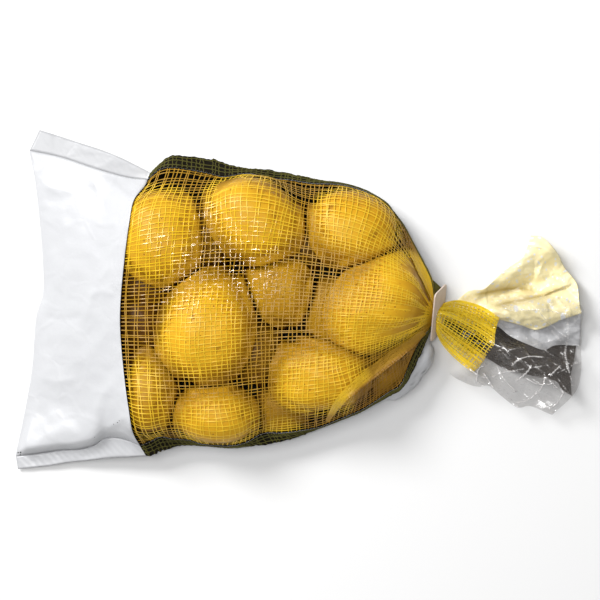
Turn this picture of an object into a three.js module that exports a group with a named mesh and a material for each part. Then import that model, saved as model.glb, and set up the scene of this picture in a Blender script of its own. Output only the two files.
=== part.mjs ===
// A filled net of potatoes that lies on its back, with the net side up.
// The bag is a film tube with a net window. Its empty foot lies flat at -X, the potatoes fill the
// middle in one layer, and the mouth is gathered at +X, held by a plastic tag and spread beyond it.
// Units are millimetres, +Z is up, and the origin is below the middle of the bag, on its support.
import * as THREE from "three";

// ---------------------------------------------------------------- driving dimensions

const SKIN = 0.8; // room for net or film over a potato
const GAP = 0.4; // clearance between foot and body along X
const SHEET = 0.8; // thickness of a loose sheet
const NECK = { x: 104, y: -12.5, z: 24, radius: 5.5, stub: 6 };

// Potatoes, seen from above: middle, half sizes (along, across, up) and turn in degrees.
const POTATOES = [
  { middle: [-105.5, 47.5], half: [32, 36.5, 28], turn: 4 },
  { middle: [-34, 61], half: [38.5, 33, 30], turn: -4 },
  { middle: [38.5, 56.5], half: [34.5, 27.5, 27.5], turn: -14 },
  { middle: [-70.5, -20], half: [36, 44, 31], turn: -12 },
  { middle: [-14.5, 5], half: [24.5, 25.5, 24], turn: 20 },
  { middle: [52, -1], half: [43, 33, 31], turn: 15 },
  { middle: [17, -58.5], half: [38, 28.5, 27], turn: 6 },
  { middle: [-116, -77.5], half: [21, 29, 24], turn: -6 },
  { middle: [-64, -90], half: [32, 21.5, 24], turn: -3 },
  { middle: [66, -50], half: [18, 16, 17], turn: 40 },
  { middle: [-15, -86], half: [17, 15, 15], turn: 10 },
  { middle: [-124, -14], half: [15, 22, 14], turn: 0 },
];
// Air that holds the back film out beside the neck.
const AIR_POCKETS = [
  { middle: [76, -56], half: [26, 17, 11], turn: 48 },
  { middle: [90, -47], half: [17, 11.5, 12], turn: 58 },
];

// The seams of front and back: the first curve from the foot fold to the net's edge, the second to the neck.
const UPPER_SEAM = [
  [[-210.5, 115.5, 3.5], [-186.7, 110.5, 6], [-155.2, 100.1, 13], [-134, 94.5, 17], [-117.7, 92.6, 21]],
  [[-117.7, 92.6, 21], [-108.3, 100.3, 22.5], [-100, 101.7, 24], [-85, 100, 24], [-69.5, 97, 24],
    [-59.5, 94.6, 24], [-46.3, 96.7, 24], [-38.6, 97, 24], [-25.5, 93.6, 24], [-7.7, 92, 24], [7.7, 89.5, 24],
    [31, 88.3, 24], [46.4, 84.5, 24], [54, 81.2, 24], [66.5, 73, 24], [72, 66, 24], [80, 55.2, 24],
    [86.5, 43, 24], [94, 29.2, 24], [100.6, 16, 24], [102.7, 5.5, 24], [104, -7, 24]],
];
const LOWER_SEAM = [
  [[-221.2, -122.7, 3.5], [-202.4, -120.3, 4.5], [-186.7, -117.9, 6], [-170.9, -116.9, 9],
    [-159.5, -113.5, 12], [-152.5, -108.6, 14], [-143.4, -107.3, 16], [-131.7, -110.2, 18],
    [-123.8, -113.5, 20]],
  [[-123.8, -113.5, 20], [-115.9, -110.6, 22], [-108.2, -106.7, 23], [-100.3, -107.9, 24], [-85, -109.5, 24],
    [-77.3, -112, 24], [-69.5, -113, 24], [-54.5, -113.6, 24], [-46, -112.4, 24], [-38.6, -109.5, 24],
    [-30.9, -104.9, 24], [-25.5, -103.5, 24], [-15.4, -103.7, 24], [0, -101.9, 24], [15.4, -99, 24],
    [30.9, -92.8, 26], [46.3, -86.4, 27.5], [54, -81.9, 28.5], [69.4, -71.4, 29], [77.1, -67.1, 29],
    [82.5, -54.8, 29], [86.3, -45.5, 28], [91, -35.4, 27], [98.8, -24.6, 25.5], [104, -18, 24]],
];
// The outer edges of the flat side seals, beside those seams.
const UPPER_EDGE = [
  [[-202.9, 131.7, 3], [-186.8, 126.5, 5], [-171, 121.2, 8], [-155.2, 116, 12], [-139.5, 109.7, 16],
    [-123.8, 101.8, 18.5], [-115.7, 97.5, 19.5]],
  [[-115.7, 97.5, 19.5], [-108.3, 104.7, 21], [-104.5, 108.1, 21.5], [-98.2, 111.1, 22], [-77.3, 108.8, 21],
    [-66.3, 108, 21], [-54.1, 103.6, 21], [-38.7, 100.8, 21], [-26.5, 100, 21], [-15.5, 98.1, 21],
    [0, 95.6, 21], [15.5, 92, 21], [30.9, 89.9, 21], [46.4, 85.8, 21.5], [54.1, 82.4, 22], [67.3, 74, 22.5],
    [72.9, 66.8, 22.5], [80.9, 56, 23], [87.5, 43.4, 23], [94.9, 29.8, 23.5], [101.5, 16.4, 24],
    [103.5, 5.9, 24], [104, -6, 24]],
];
const LOWER_EDGE = [
  [[-219.7, -132.4, 3], [-194.6, -129.6, 4.5], [-180.5, -127.2, 6], [-163.2, -125.1, 9.5],
    [-147.4, -123.3, 12.5], [-131.7, -122.4, 15], [-119.2, -121.4, 17]],
  [[-119.2, -121.4, 17], [-115.3, -121.1, 18], [-108.3, -118.3, 19], [-92.8, -113.2, 20.5], [-85, -113.2, 21],
    [-69.6, -114, 21], [-54.1, -115.2, 21], [-38.7, -114, 21], [-23.1, -112.2, 21], [-7.7, -108.3, 21],
    [7.7, -102.9, 21.5], [15.5, -100, 22], [30.9, -93.8, 24], [46.3, -87.6, 26], [54, -83.3, 27],
    [69.4, -74.8, 28], [77.1, -70.6, 28], [81, -66.3, 28], [88.7, -52.5, 27.5], [92.6, -43.2, 27],
    [96.4, -35.4, 26.5], [98.8, -29.3, 26], [104, -19.2, 24]],
];
// The folded edge of the foot, and the edge of the net window, seen from above.
const FOLD_LINE = [
  [-210.5, 115.5], [-205.2, 94], [-200.3, 57], [-197.2, 16], [-198.2, 1], [-202.4, -11], [-206.5, -55],
  [-213.8, -93], [-221.2, -122.7],
];
const NET_EDGE = [
  [-117.7, 92.6], [-119.3, 88.2], [-127.2, 76.4], [-130.8, 57], [-135, 25], [-138, -14], [-135.6, -52],
  [-130.8, -88], [-128, -104], [-123.8, -113.5],
];
const FOLD = { z: 3.5, halfHeight: 2.5 };

// Pleats where net and film are gathered into the neck.
const PLEATS = { reach: 62, depth: 1.6, count: 15 };

const FOOT_ROWS = 12;
const BODY_ROWS = 38;
const COLUMNS = 30;
const RELAX_STEPS = 400;
const SAG = 0.3; // how far the back film drops in a step, under its own weight

// The tag: a thin plate on the neck, with a round hole that is open to its upper rim by a slot.
const TAG = { length: 42, width: 22, thickness: 1, corner: 3, hole: 7.2, slot: 2.2 };
const TAG_ALONG = [0.06, 0.875, 0.48];
const TAG_UP = [-0.436, -0.409, 0.8];
const TAG_MIDDLE = { x: 3.5, along: 3, up: -2 }; // ahead of the neck's ring, and off the hole's middle

// The spread mouth. Its layers lie on each other and follow the same ridges, which run out from the neck.
// A layer is drawn inside four lines: near the neck, at its outer edge, and along its upper and lower side.
const LAYER = 2.3;
const SPREAD = { from: 8, rise: 11, fall: 16, floor: 0.9 };
const RIDGES = { height: 6, perRadian: 12, phase: 1.1, from: 15, full: 70 };
const FAN = {
  from: 8,
  length: 44,
  edge: 0.5,
  laid: 3,
  far: [[154.5, -14.5], [152.5, -22], [151.3, -28.5], [150.5, -35.5], [145.5, -42.5], [141, -50], [134, -57]],
  upper: [[110, -7], [114, -2.5], [122.5, 0], [131, -1.5], [142, -5.5], [154.5, -14.6]],
  lower: [[110, -18], [109, -24], [110, -30], [113.5, -37], [118.5, -43.5], [125, -49.5], [134, -57]],
  rows: 12,
  columns: 24,
};
const FILMS = {
  film_black: {
    layer: 0,
    near: [[121, -16], [120, -22], [117, -28]],
    far: [[216, -31], [213.5, -47], [210.5, -59], [210.5, -75]],
    upper: [[121, -16], [150, -20], [185, -27], [216, -31]],
    lower: [[117, -28], [130, -40], [147, -47], [159, -54], [183, -60], [199, -64], [203, -70], [210.5, -75]],
    rows: 11,
    columns: 12,
  },
  film_white: {
    layer: 1,
    near: [[122, -13], [122, -19]],
    far: [[217.5, -10], [218, -24], [217.5, -36.3]],
    upper: [[122, -13], [150, -12], [185, -14], [217.5, -10]],
    lower: [[122, -19], [145, -21], [154, -21.5], [163, -28.5], [179.7, -36.3], [190.5, -39.7], [198, -36.3],
      [217.5, -36.3]],
    rows: 11,
    columns: 6,
  },
  film_yellow: {
    layer: 2,
    near: [[122, -1], [122, -8], [122, -15]],
    far: [[179, 49], [187, 48], [199, 36], [205.5, 24.5], [215, 12], [216.5, -3], [218, -11]],
    upper: [[122, -1], [132, 6.5], [142.5, 7.5], [149, 13], [160, 23], [173, 32.5], [176.3, 40], [179, 49]],
    lower: [[122, -15], [140, -14], [154, -16], [172, -20.5], [184, -24], [202, -16.5], [218, -11]],
    rows: 11,
    columns: 14,
  },
  film_clear: {
    layer: 3,
    near: [[116, -1], [121, -12], [121, -22], [118, -34]],
    far: [[204, 1], [218, -6], [218, -25], [218, -49], [215.5, -67], [206, -80], [195.5, -90]],
    upper: [[116, -1], [135.5, 1], [151, 2], [169, 3], [187.5, 2.5], [204, 1]],
    lower: [[118, -34], [117, -42], [114.5, -50], [116, -57.5], [126, -64], [137.5, -68], [145.5, -67],
      [157, -76], [169, -84], [178, -83], [195.5, -90]],
    rows: 13,
    columns: 19,
  },
};

// Colours and surfaces.
const COLORS = {
  yellowNet: { color: [0.8, 0.52, 0.08], roughness: 0.35 },
  whiteFilm: { color: [0.86, 0.87, 0.89], roughness: 0.4 },
  yellowFilm: { color: [0.85, 0.74, 0.42], roughness: 0.35 },
  blackFilm: { color: [0.03, 0.03, 0.03], roughness: 0.3 },
  clearFilm: { color: [0.75, 0.73, 0.7], roughness: 0.15, opacity: 0.35 },
  paleTag: { color: [0.62, 0.52, 0.44], roughness: 0.45 },
};

// ---------------------------------------------------------------- small helpers

const mix = (a, b, t) => a + (b - a) * t;

function smooth(t) {
  const s = Math.min(1, Math.max(0, t));
  return s * s * (3 - 2 * s);
}

function curveThrough(points) {
  const places = points.map(([x, y, z = 0]) => new THREE.Vector3(x, y, z));
  return new THREE.CatmullRomCurve3(places, false, "centripetal");
}

// A row of places along a curve, at equal steps.
function placesOn(curve, columns) {
  return Array.from({ length: columns + 1 }, (_, j) => curve.getPointAt(j / columns));
}

// The closed solid between two grids of places, which have as many rows and columns. Rows run
// towards +X and columns towards -Y, and the top grid lies above the bottom one.
function solidBetween(top, bottom) {
  const corners = [];
  const number = (grid) => grid.map((row) => row.map((p) => corners.push(p.x, p.y, p.z) / 3 - 1));
  const a = number(top);
  const b = number(bottom);
  const rows = top.length - 1;
  const columns = top[0].length - 1;
  const index = [];
  const quad = (p, q, r, s) => index.push(p, q, r, p, r, s);
  for (let i = 0; i < rows; i++) {
    for (let j = 0; j < columns; j++) {
      quad(a[i][j], a[i][j + 1], a[i + 1][j + 1], a[i + 1][j]);
      quad(b[i][j], b[i + 1][j], b[i + 1][j + 1], b[i][j + 1]);
    }
    quad(a[i][0], a[i + 1][0], b[i + 1][0], b[i][0]);
    quad(a[i][columns], b[i][columns], b[i + 1][columns], a[i + 1][columns]);
  }
  for (let j = 0; j < columns; j++) {
    quad(a[0][j], b[0][j], b[0][j + 1], a[0][j + 1]);
    quad(a[rows][j], a[rows][j + 1], b[rows][j + 1], b[rows][j]);
  }
  const geometry = new THREE.BufferGeometry();
  geometry.setAttribute("position", new THREE.Float32BufferAttribute(corners, 3));
  geometry.setIndex(index);
  geometry.computeVertexNormals();
  return geometry;
}

function named(name, geometry, { color, roughness, opacity = 1 }) {
  const material = new THREE.MeshStandardMaterial({
    color: new THREE.Color(...color),
    roughness,
    metalness: 0,
    transparent: opacity < 1,
    opacity,
    flatShading: true,
  });
  const made = new THREE.Mesh(geometry, material);
  made.name = name;
  return made;
}

// ---------------------------------------------------------------- the bag's two sheets

// An ellipsoid that the sheets can't enter, grown by the room for the sheet itself.
function obstacle({ middle: [x, y], half: [a, b, c], turn }) {
  const angle = THREE.MathUtils.degToRad(turn);
  return {
    middle: new THREE.Vector3(x, y, c + SKIN),
    half: new THREE.Vector3(a + SKIN, b + SKIN, c + SKIN),
    cos: Math.cos(angle),
    sin: Math.sin(angle),
  };
}

function pushOut(place, { middle, half, cos, sin }) {
  const dx = place.x - middle.x;
  const dy = place.y - middle.y;
  const dz = place.z - middle.z;
  const depth = Math.hypot((dx * cos + dy * sin) / half.x, (dy * cos - dx * sin) / half.y, dz / half.z);
  if (depth < 1 && depth > 0.001) {
    place.set(middle.x + dx / depth, middle.y + dy / depth, middle.z + dz / depth);
  }
}

// Where row i meets a seam or a seal's edge: foot rows on its first curve, body rows on its second.
function places(curves) {
  const [foot, body] = curves.map(curveThrough);
  return [...placesOn(foot, FOOT_ROWS), ...placesOn(body, BODY_ROWS).slice(1)];
}

// The sheet before it is drawn tight: a high vault on the net side, and nearly flat at the back.
function looseSheet(side) {
  const upper = places(UPPER_SEAM);
  const lower = places(LOWER_SEAM);
  const sheet = upper.map((from, i) =>
    Array.from({ length: COLUMNS + 1 }, (_, j) => {
      const t = j / COLUMNS;
      const place = from.clone().lerp(lower[i], t);
      const bow = Math.sqrt(Math.sin(Math.PI * t));
      const height = mix(FOLD.halfHeight, 2 * NECK.z, smooth(i / FOOT_ROWS));
      place.z = side > 0 ? place.z + height * bow : place.z * (1 - bow);
      return place;
    }),
  );
  placesOn(curveThrough(FOLD_LINE), COLUMNS).forEach((onFold, j) => {
    const puff = FOLD.halfHeight * Math.sqrt(Math.sin((Math.PI * j) / COLUMNS));
    sheet[0][j].set(onFold.x, onFold.y, FOLD.z + side * puff);
    const angle = (Math.PI * j) / COLUMNS;
    const across = NECK.radius * Math.cos(angle);
    const up = NECK.radius * Math.sin(angle);
    sheet.at(-1)[j].set(NECK.x, NECK.y + across, NECK.z + side * up);
  });
  return sheet;
}

// Moves a place straight up or down until it is clear of an obstacle.
function pushAside(place, { middle, half, cos, sin }, side) {
  const dx = place.x - middle.x;
  const dy = place.y - middle.y;
  const away = Math.hypot((dx * cos + dy * sin) / half.x, (dy * cos - dx * sin) / half.y);
  const reach = half.z * Math.sqrt(Math.max(0, 1 - away * away));
  if (away < 1) place.z = side * Math.max(side * place.z, side * middle.z + reach);
}

// Draws a sheet tight over the potatoes. Each inner place moves to the middle of its neighbours and then
// out of every potato, until the sheet rests. side is 1 for the net side and -1 for the back. The row at
// the net's edge keeps its place seen from above.
function tightSheet(side, obstacles) {
  const sheet = looseSheet(side);
  const netEdge = placesOn(curveThrough(NET_EDGE), COLUMNS);
  for (let step = 0; step < RELAX_STEPS; step++) {
    for (let i = 1; i < sheet.length - 1; i++) {
      for (let j = 1; j < COLUMNS; j++) {
        const place = sheet[i][j];
        place.copy(sheet[i - 1][j]).add(sheet[i + 1][j]).add(sheet[i][j - 1]).add(sheet[i][j + 1]);
        place.multiplyScalar(0.25);
        if (side < 0) place.z -= SAG;
        if (i === FOOT_ROWS) {
          place.setX(netEdge[j].x).setY(netEdge[j].y);
          obstacles.forEach((one) => pushAside(place, one, side));
        } else {
          obstacles.forEach((one) => pushOut(place, one));
        }
        place.z = Math.max(0, place.z);
      }
    }
  }
  return sheet;
}

// Ripples the gathered end, deepest a little behind the neck. They die out at the seams.
function addPleats(sheet, side) {
  sheet.slice(FOOT_ROWS + 1, -1).forEach((row) =>
    row.forEach((place, j) => {
      const away = Math.hypot(place.x - NECK.x, place.y - NECK.y);
      const near = smooth(1 - away / PLEATS.reach) * smooth(away / NECK.z);
      const across = (Math.PI * j) / COLUMNS;
      const ripple = PLEATS.depth * near * Math.sin(PLEATS.count * across) * Math.sin(across);
      place.z = Math.max(0, place.z + side * ripple);
    }),
  );
}

// A sheet with its halves of the two side seals: the seam and the seal's edge each get half a thickness.
function withSeals(sheet, side) {
  const upper = places(UPPER_EDGE);
  const lower = places(LOWER_EDGE);
  const half = new THREE.Vector3(0, 0, (side * SHEET) / 2);
  return sheet.map((row, i) => {
    const inner = row.map((place, j) => (j % COLUMNS ? place.clone() : place.clone().add(half)));
    return [upper[i].add(half), ...inner, lower[i].add(half)];
  });
}

const moved = (row, dx) => row.map((place) => place.clone().setX(place.x + dx));

// ---------------------------------------------------------------- the spread mouth

const ringDistance = (x, y) => Math.hypot(x - NECK.x, y - NECK.y);

// Half the fan's thickness: a round bunch at the neck that thins to a single net.
const fanHalf = (r) => mix(NECK.radius, FAN.edge, smooth((r - FAN.from) / FAN.length));

// The height of the pile's lowest layer at a place: it falls away from the neck and breaks into ridges.
function pileHeight(x, y) {
  const r = ringDistance(x, y);
  const angle = Math.atan2(y - NECK.y, x - NECK.x);
  const fall = SPREAD.rise * Math.exp(-(r - SPREAD.from) / SPREAD.fall);
  const grown = smooth((r - RIDGES.from) / RIDGES.full);
  const ridge = 1 + Math.sin(RIDGES.perRadian * angle + RIDGES.phase);
  return SPREAD.floor + fall + RIDGES.height * grown * ridge;
}

// The places of a layer inside its four lines. Rows run from near to far, columns from upper to lower.
function patch(near, far, upper, lower) {
  const rows = upper.length - 1;
  const columns = near.length - 1;
  return upper.map((high, i) =>
    near.map((from, j) => {
      const ends = from.clone().lerp(far[j], i / rows);
      const sides = high.clone().lerp(lower[i], j / columns);
      const farCorners = far[0].clone().lerp(far[columns], j / columns);
      const corners = near[0].clone().lerp(near[columns], j / columns).lerp(farCorners, i / rows);
      return ends.add(sides).sub(corners);
    }),
  );
}

function filmGeometry({ layer, near, far, upper, lower, rows, columns }) {
  const [from, to] = [near, far].map((line) => placesOn(curveThrough(line), columns));
  const [high, low] = [upper, lower].map((line) => placesOn(curveThrough(line), rows));
  const overFan = layer > 2 ? 1 : 0;
  const face = (side) =>
    patch(from, to, high, low).map((row) =>
      row.map((place) => {
        const fan = overFan * (2 * fanHalf(ringDistance(place.x, place.y)) + LAYER);
        place.z = pileHeight(place.x, place.y) + layer * LAYER + fan + (side * SHEET) / 2;
        return place;
      }),
    );
  return solidBetween(face(1), face(-1));
}

// Half of the round bunch at x, on the upper side or the lower.
function bunch(x, side) {
  return Array.from({ length: FAN.columns + 1 }, (_, j) => {
    const angle = (Math.PI * j) / FAN.columns;
    const edge = j % FAN.columns ? 0 : SHEET / 2;
    const up = NECK.radius * Math.sin(angle) + edge;
    return new THREE.Vector3(x, NECK.y + NECK.radius * Math.cos(angle), NECK.z + side * up);
  });
}

// The net beyond the tag: a round bunch in the tag's hole that opens into a flat fan.
function fanGeometry() {
  const stub = NECK.x + NECK.stub;
  const far = placesOn(curveThrough(FAN.far), FAN.columns);
  const [upper, lower] = [FAN.upper, FAN.lower].map((line) => placesOn(curveThrough(line), FAN.rows));
  const face = (side) => {
    const near = bunch(stub, side).map((place) => place.setZ(0));
    const opened = patch(near, far, upper, lower).slice(1);
    opened.forEach((row, i) =>
      row.forEach((place, j) => {
        const half = fanHalf(ringDistance(place.x, place.y));
        const laid = smooth((FAN.laid * (i + 1)) / FAN.rows);
        const middle = mix(NECK.z, pileHeight(place.x, place.y) + 3 * LAYER + half, laid);
        place.z = middle + side * Math.max(SHEET / 2, half * Math.sin((Math.PI * j) / FAN.columns));
      }),
    );
    return [bunch(NECK.x + GAP, side), bunch(stub, side), ...opened];
  };
  return solidBetween(face(1), face(-1));
}

// ---------------------------------------------------------------- the tag

function tagGeometry() {
  const { length, width, thickness, corner, hole, slot } = TAG;
  const x = length / 2;
  const y = width / 2;
  const shape = new THREE.Shape();
  const holeX = -TAG_MIDDLE.along;
  const holeY = -TAG_MIDDLE.up;
  const lip = Math.asin(slot / hole);
  shape.moveTo(-x + corner, -y);
  shape.absarc(x - corner, -y + corner, corner, -Math.PI / 2, 0, false);
  shape.absarc(x - corner, y - corner, corner, 0, Math.PI / 2, false);
  shape.lineTo(holeX + slot, y);
  shape.absarc(holeX, holeY, hole, Math.PI / 2 - lip, Math.PI / 2 + lip, true);
  shape.lineTo(holeX - slot, y);
  shape.absarc(-x + corner, y - corner, corner, Math.PI / 2, Math.PI, false);
  shape.absarc(-x + corner, -y + corner, corner, Math.PI, 1.5 * Math.PI, false);
  const plate = { depth: thickness, bevelEnabled: false, curveSegments: 10 };
  const geometry = new THREE.ExtrudeGeometry(shape, plate);
  geometry.translate(0, 0, -thickness / 2);
  const along = new THREE.Vector3(...TAG_ALONG).normalize();
  const normal = new THREE.Vector3(...TAG_UP).cross(along).normalize();
  const up = along.clone().cross(normal).negate();
  const frame = new THREE.Matrix4().makeBasis(along, up, along.clone().cross(up));
  const middle = new THREE.Vector3(NECK.x + TAG_MIDDLE.x, NECK.y, NECK.z);
  middle.addScaledVector(along, TAG_MIDDLE.along).addScaledVector(up, TAG_MIDDLE.up);
  frame.setPosition(middle);
  return geometry.applyMatrix4(frame);
}

// ---------------------------------------------------------------- the object

const potatoes = POTATOES.map(obstacle);
const front = tightSheet(1, potatoes);
const back = tightSheet(-1, [...potatoes, ...AIR_POCKETS.map(obstacle)]);
addPleats(front, 1);
addPleats(back, -1);
const netSide = withSeals(front, 1);
const backSide = withSeals(back, -1);

// One solid of the bag, from row first to row last, cut short by half the gap at an inner end.
function bagPart(first, last) {
  const cut = (side) =>
    side.slice(first, last + 1).map((row, i) => {
      if (first > 0 && i === 0) return moved(row, GAP / 2);
      if (first === 0 && i === last) return moved(row, -GAP / 2);
      return row;
    });
  return solidBetween(cut(netSide), cut(backSide));
}

const bag = new THREE.Group();
bag.add(named("film_foot", bagPart(0, FOOT_ROWS), COLORS.whiteFilm));
bag.add(named("net_body", bagPart(FOOT_ROWS, FOOT_ROWS + BODY_ROWS), COLORS.yellowNet));
bag.add(named("closure_tag", tagGeometry(), COLORS.paleTag));
bag.add(named("net_fan", fanGeometry(), COLORS.yellowNet));
bag.add(named("film_black", filmGeometry(FILMS.film_black), COLORS.blackFilm));
bag.add(named("film_white", filmGeometry(FILMS.film_white), COLORS.whiteFilm));
bag.add(named("film_yellow", filmGeometry(FILMS.film_yellow), COLORS.yellowFilm));
bag.add(named("film_clear", filmGeometry(FILMS.film_clear), COLORS.clearFilm));

export default bag;
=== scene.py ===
"""A filled net of potatoes that lies on its back, with the net side up.

Lengths and places are millimetres throughout the shape code, in the frame's own axes. add_mesh turns them into
Blender's metres. The pieces are the potatoes, the film sleeve, its two side seals and the corner behind the neck,
the net, the tag on the neck, and the films and the net of the spread mouth.
"""

import functools
import math

import bmesh
import bpy
import numpy as np
from bpy.props import FloatProperty, FloatVectorProperty, IntProperty, PointerProperty
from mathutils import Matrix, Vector
from mathutils.bvhtree import BVHTree


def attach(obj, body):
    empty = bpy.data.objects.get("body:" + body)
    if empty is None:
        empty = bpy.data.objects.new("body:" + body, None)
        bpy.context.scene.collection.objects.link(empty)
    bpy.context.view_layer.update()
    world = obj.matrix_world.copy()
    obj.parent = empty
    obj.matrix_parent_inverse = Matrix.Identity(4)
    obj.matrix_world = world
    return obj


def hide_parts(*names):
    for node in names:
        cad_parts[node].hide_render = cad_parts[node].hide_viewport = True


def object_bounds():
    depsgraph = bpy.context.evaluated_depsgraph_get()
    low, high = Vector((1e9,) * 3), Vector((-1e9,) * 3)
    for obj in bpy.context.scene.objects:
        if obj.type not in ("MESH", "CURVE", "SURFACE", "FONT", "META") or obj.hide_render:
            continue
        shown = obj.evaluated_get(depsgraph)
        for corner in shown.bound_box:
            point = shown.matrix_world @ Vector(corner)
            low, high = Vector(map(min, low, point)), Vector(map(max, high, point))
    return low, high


bl_info = {
    "name": "Net of potatoes",
    "version": (1, 0, 0),
    "blender": (4, 5, 0),
    "location": "3D View > Sidebar > Potato net",
    "description": "Makes a filled net of potatoes, lying on its back, piece by piece",
    "category": "Add Mesh",
}

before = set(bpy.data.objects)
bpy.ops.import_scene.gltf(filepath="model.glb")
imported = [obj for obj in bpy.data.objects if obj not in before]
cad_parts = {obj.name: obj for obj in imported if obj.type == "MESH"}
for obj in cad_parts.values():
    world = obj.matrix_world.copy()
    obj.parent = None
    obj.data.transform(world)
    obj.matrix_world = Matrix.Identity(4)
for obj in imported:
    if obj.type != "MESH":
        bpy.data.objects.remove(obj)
CAD_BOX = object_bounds()
MM = 0.001
BODY = "root"
once = functools.lru_cache(maxsize=None)  # keeps what a function has made, for its next call

# ---------------------------------------------------------------- sizes that the solids share

SKIN = 0.8  # room for net or film over a potato
NECK = np.array([104.0, -12.5, 24.0])
NECK_RADIUS = 5.5

# Potatoes, seen from above: middle, half sizes (along, across, up) and turn in degrees.
POTATOES = [
    ((-105.5, 47.5), (32, 36.5, 28), 4),
    ((-34, 61), (38.5, 33, 30), -4),
    ((38.5, 56.5), (34.5, 27.5, 27.5), -14),
    ((-70.5, -20), (36, 44, 31), -12),
    ((-14.5, 5), (24.5, 25.5, 24), 20),
    ((52, -1), (43, 33, 31), 15),
    ((17, -58.5), (38, 28.5, 27), 6),
    ((-116, -77.5), (21, 29, 24), -6),
    ((-64, -90), (32, 21.5, 24), -3),
    ((66, -50), (18, 16, 17), 40),
    ((-15, -86), (17, 15, 15), 10),
    ((-124, -14), (15, 22, 14), 0),
]
# The skins that show through the net: middle, half sizes and turn, how much narrower the far end is, and how much
# of the deep sides' colour darkens all of it: a little for some upper ones, and much for the lower ones, as painted
# shade where they lie in the shade between the others. The first twelve fill the potatoes above, and the others lie
# lower between them.
SKINS = [
    ((-106, 47), (33, 37, 28), 4, 0.04, 0.18),
    ((-35.5, 60), (40, 31, 30), -26, 0.0, 0.12),
    ((38, 54), (34.5, 29, 27.5), -14, 0.0, 0.04),
    ((-71, -20.5), (35, 44, 31), -12, 0.10, 0.0),
    ((-15.5, 6), (24.5, 26.5, 24), 20, -0.18, 0.12),
    ((59, -3), (44, 32.5, 31), 34, 0.0, 0.0),
    ((15, -58.5), (38, 28.5, 27), 2, 0.0, 0.05),
    ((-115, -71), (19, 32, 24), -2, 0.0, 0.40),
    ((-63.7, -89.8), (32, 22, 24), -3, 0.0, 0.10),
    ((66.5, -56), (17, 12.5, 16), 42, 0.0, 0.50),
    ((-14, -86), (19, 17, 15), 10, 0.0, 0.50),
    ((-124, -16), (18, 27, 15), 0, 0.0, 0.95),
    ((33, -12), (29, 28, 22), 20, 0.0, 0.30),
    ((-78, 46), (24, 26, 19), 10, 0.0, 0.75),
    ((-34, -40), (19, 24, 18), 0, 0.0, 0.70),
    ((2, 40), (20, 17, 17), 0, 0.0, 0.80),
    ((-119, 12), (24, 22, 17), 0, 0.0, 0.95),
]
# Air that holds the back film out beside the neck.
AIR_POCKETS = [((76, -56), (26, 17, 11), 48), ((90, -47), (17, 11.5, 12), 58)]

# The seams of front and back: from the foot fold to the net's edge, and on to the neck.
UPPER_SEAM = (
    [(-210.5, 115.5, 3.5), (-186.7, 110.5, 6), (-155.2, 100.1, 13), (-134, 94.5, 17), (-117.7, 92.6, 21)],
    [(-117.7, 92.6, 21), (-108.3, 100.3, 22.5), (-100, 101.7, 24), (-85, 100, 24), (-69.5, 97, 24),
     (-59.5, 94.6, 24), (-46.3, 96.7, 24), (-38.6, 97, 24), (-25.5, 93.6, 24), (-7.7, 92, 24), (7.7, 89.5, 24),
     (31, 88.3, 24), (46.4, 84.5, 24), (54, 81.2, 24), (66.5, 73, 24), (72, 66, 24), (80, 55.2, 24),
     (86.5, 43, 24), (94, 29.2, 24), (100.6, 16, 24), (102.7, 5.5, 24), (104, -7, 24)],
)
LOWER_SEAM = (
    [(-221.2, -122.7, 3.5), (-202.4, -120.3, 4.5), (-186.7, -117.9, 6), (-170.9, -116.9, 9), (-159.5, -113.5, 12),
     (-152.5, -108.6, 14), (-143.4, -107.3, 16), (-131.7, -110.2, 18), (-123.8, -113.5, 20)],
    [(-123.8, -113.5, 20), (-115.9, -110.6, 22), (-108.2, -106.7, 23), (-100.3, -107.9, 24), (-85, -109.5, 24),
     (-77.3, -112, 24), (-69.5, -113, 24), (-54.5, -113.6, 24), (-46, -112.4, 24), (-38.6, -109.5, 24),
     (-30.9, -104.9, 24), (-25.5, -103.5, 24), (-15.4, -103.7, 24), (0, -101.9, 24), (15.4, -99, 24),
     (30.9, -92.8, 26), (46.3, -86.4, 27.5), (54, -81.9, 28.5), (69.4, -71.4, 29), (77.1, -67.1, 29),
     (82.5, -54.8, 29), (86.3, -45.5, 28), (91, -35.4, 27), (98.8, -24.6, 25.5), (104, -18, 24)],
)
# The outer edges of the flat side seals, beside those seams.
UPPER_EDGE = (
    [(-202.9, 131.7, 3), (-186.8, 126.5, 5), (-171, 121.2, 8), (-155.2, 116, 12), (-139.5, 109.7, 16),
     (-123.8, 101.8, 18.5), (-115.7, 97.5, 19.5)],
    [(-115.7, 97.5, 19.5), (-108.3, 104.7, 21), (-104.5, 108.1, 21.5), (-98.2, 111.1, 22), (-77.3, 108.8, 21),
     (-66.3, 108, 21), (-54.1, 103.6, 21), (-38.7, 100.8, 21), (-26.5, 100, 21), (-15.5, 98.1, 21), (0, 95.6, 21),
     (15.5, 92, 21), (30.9, 89.9, 21), (46.4, 85.8, 21.5), (54.1, 82.4, 22), (67.3, 74, 22.5), (72.9, 66.8, 22.5),
     (80.9, 56, 23), (87.5, 43.4, 23), (94.9, 29.8, 23.5), (101.5, 16.4, 24), (103.5, 5.9, 24), (104, -6, 24)],
)
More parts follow.
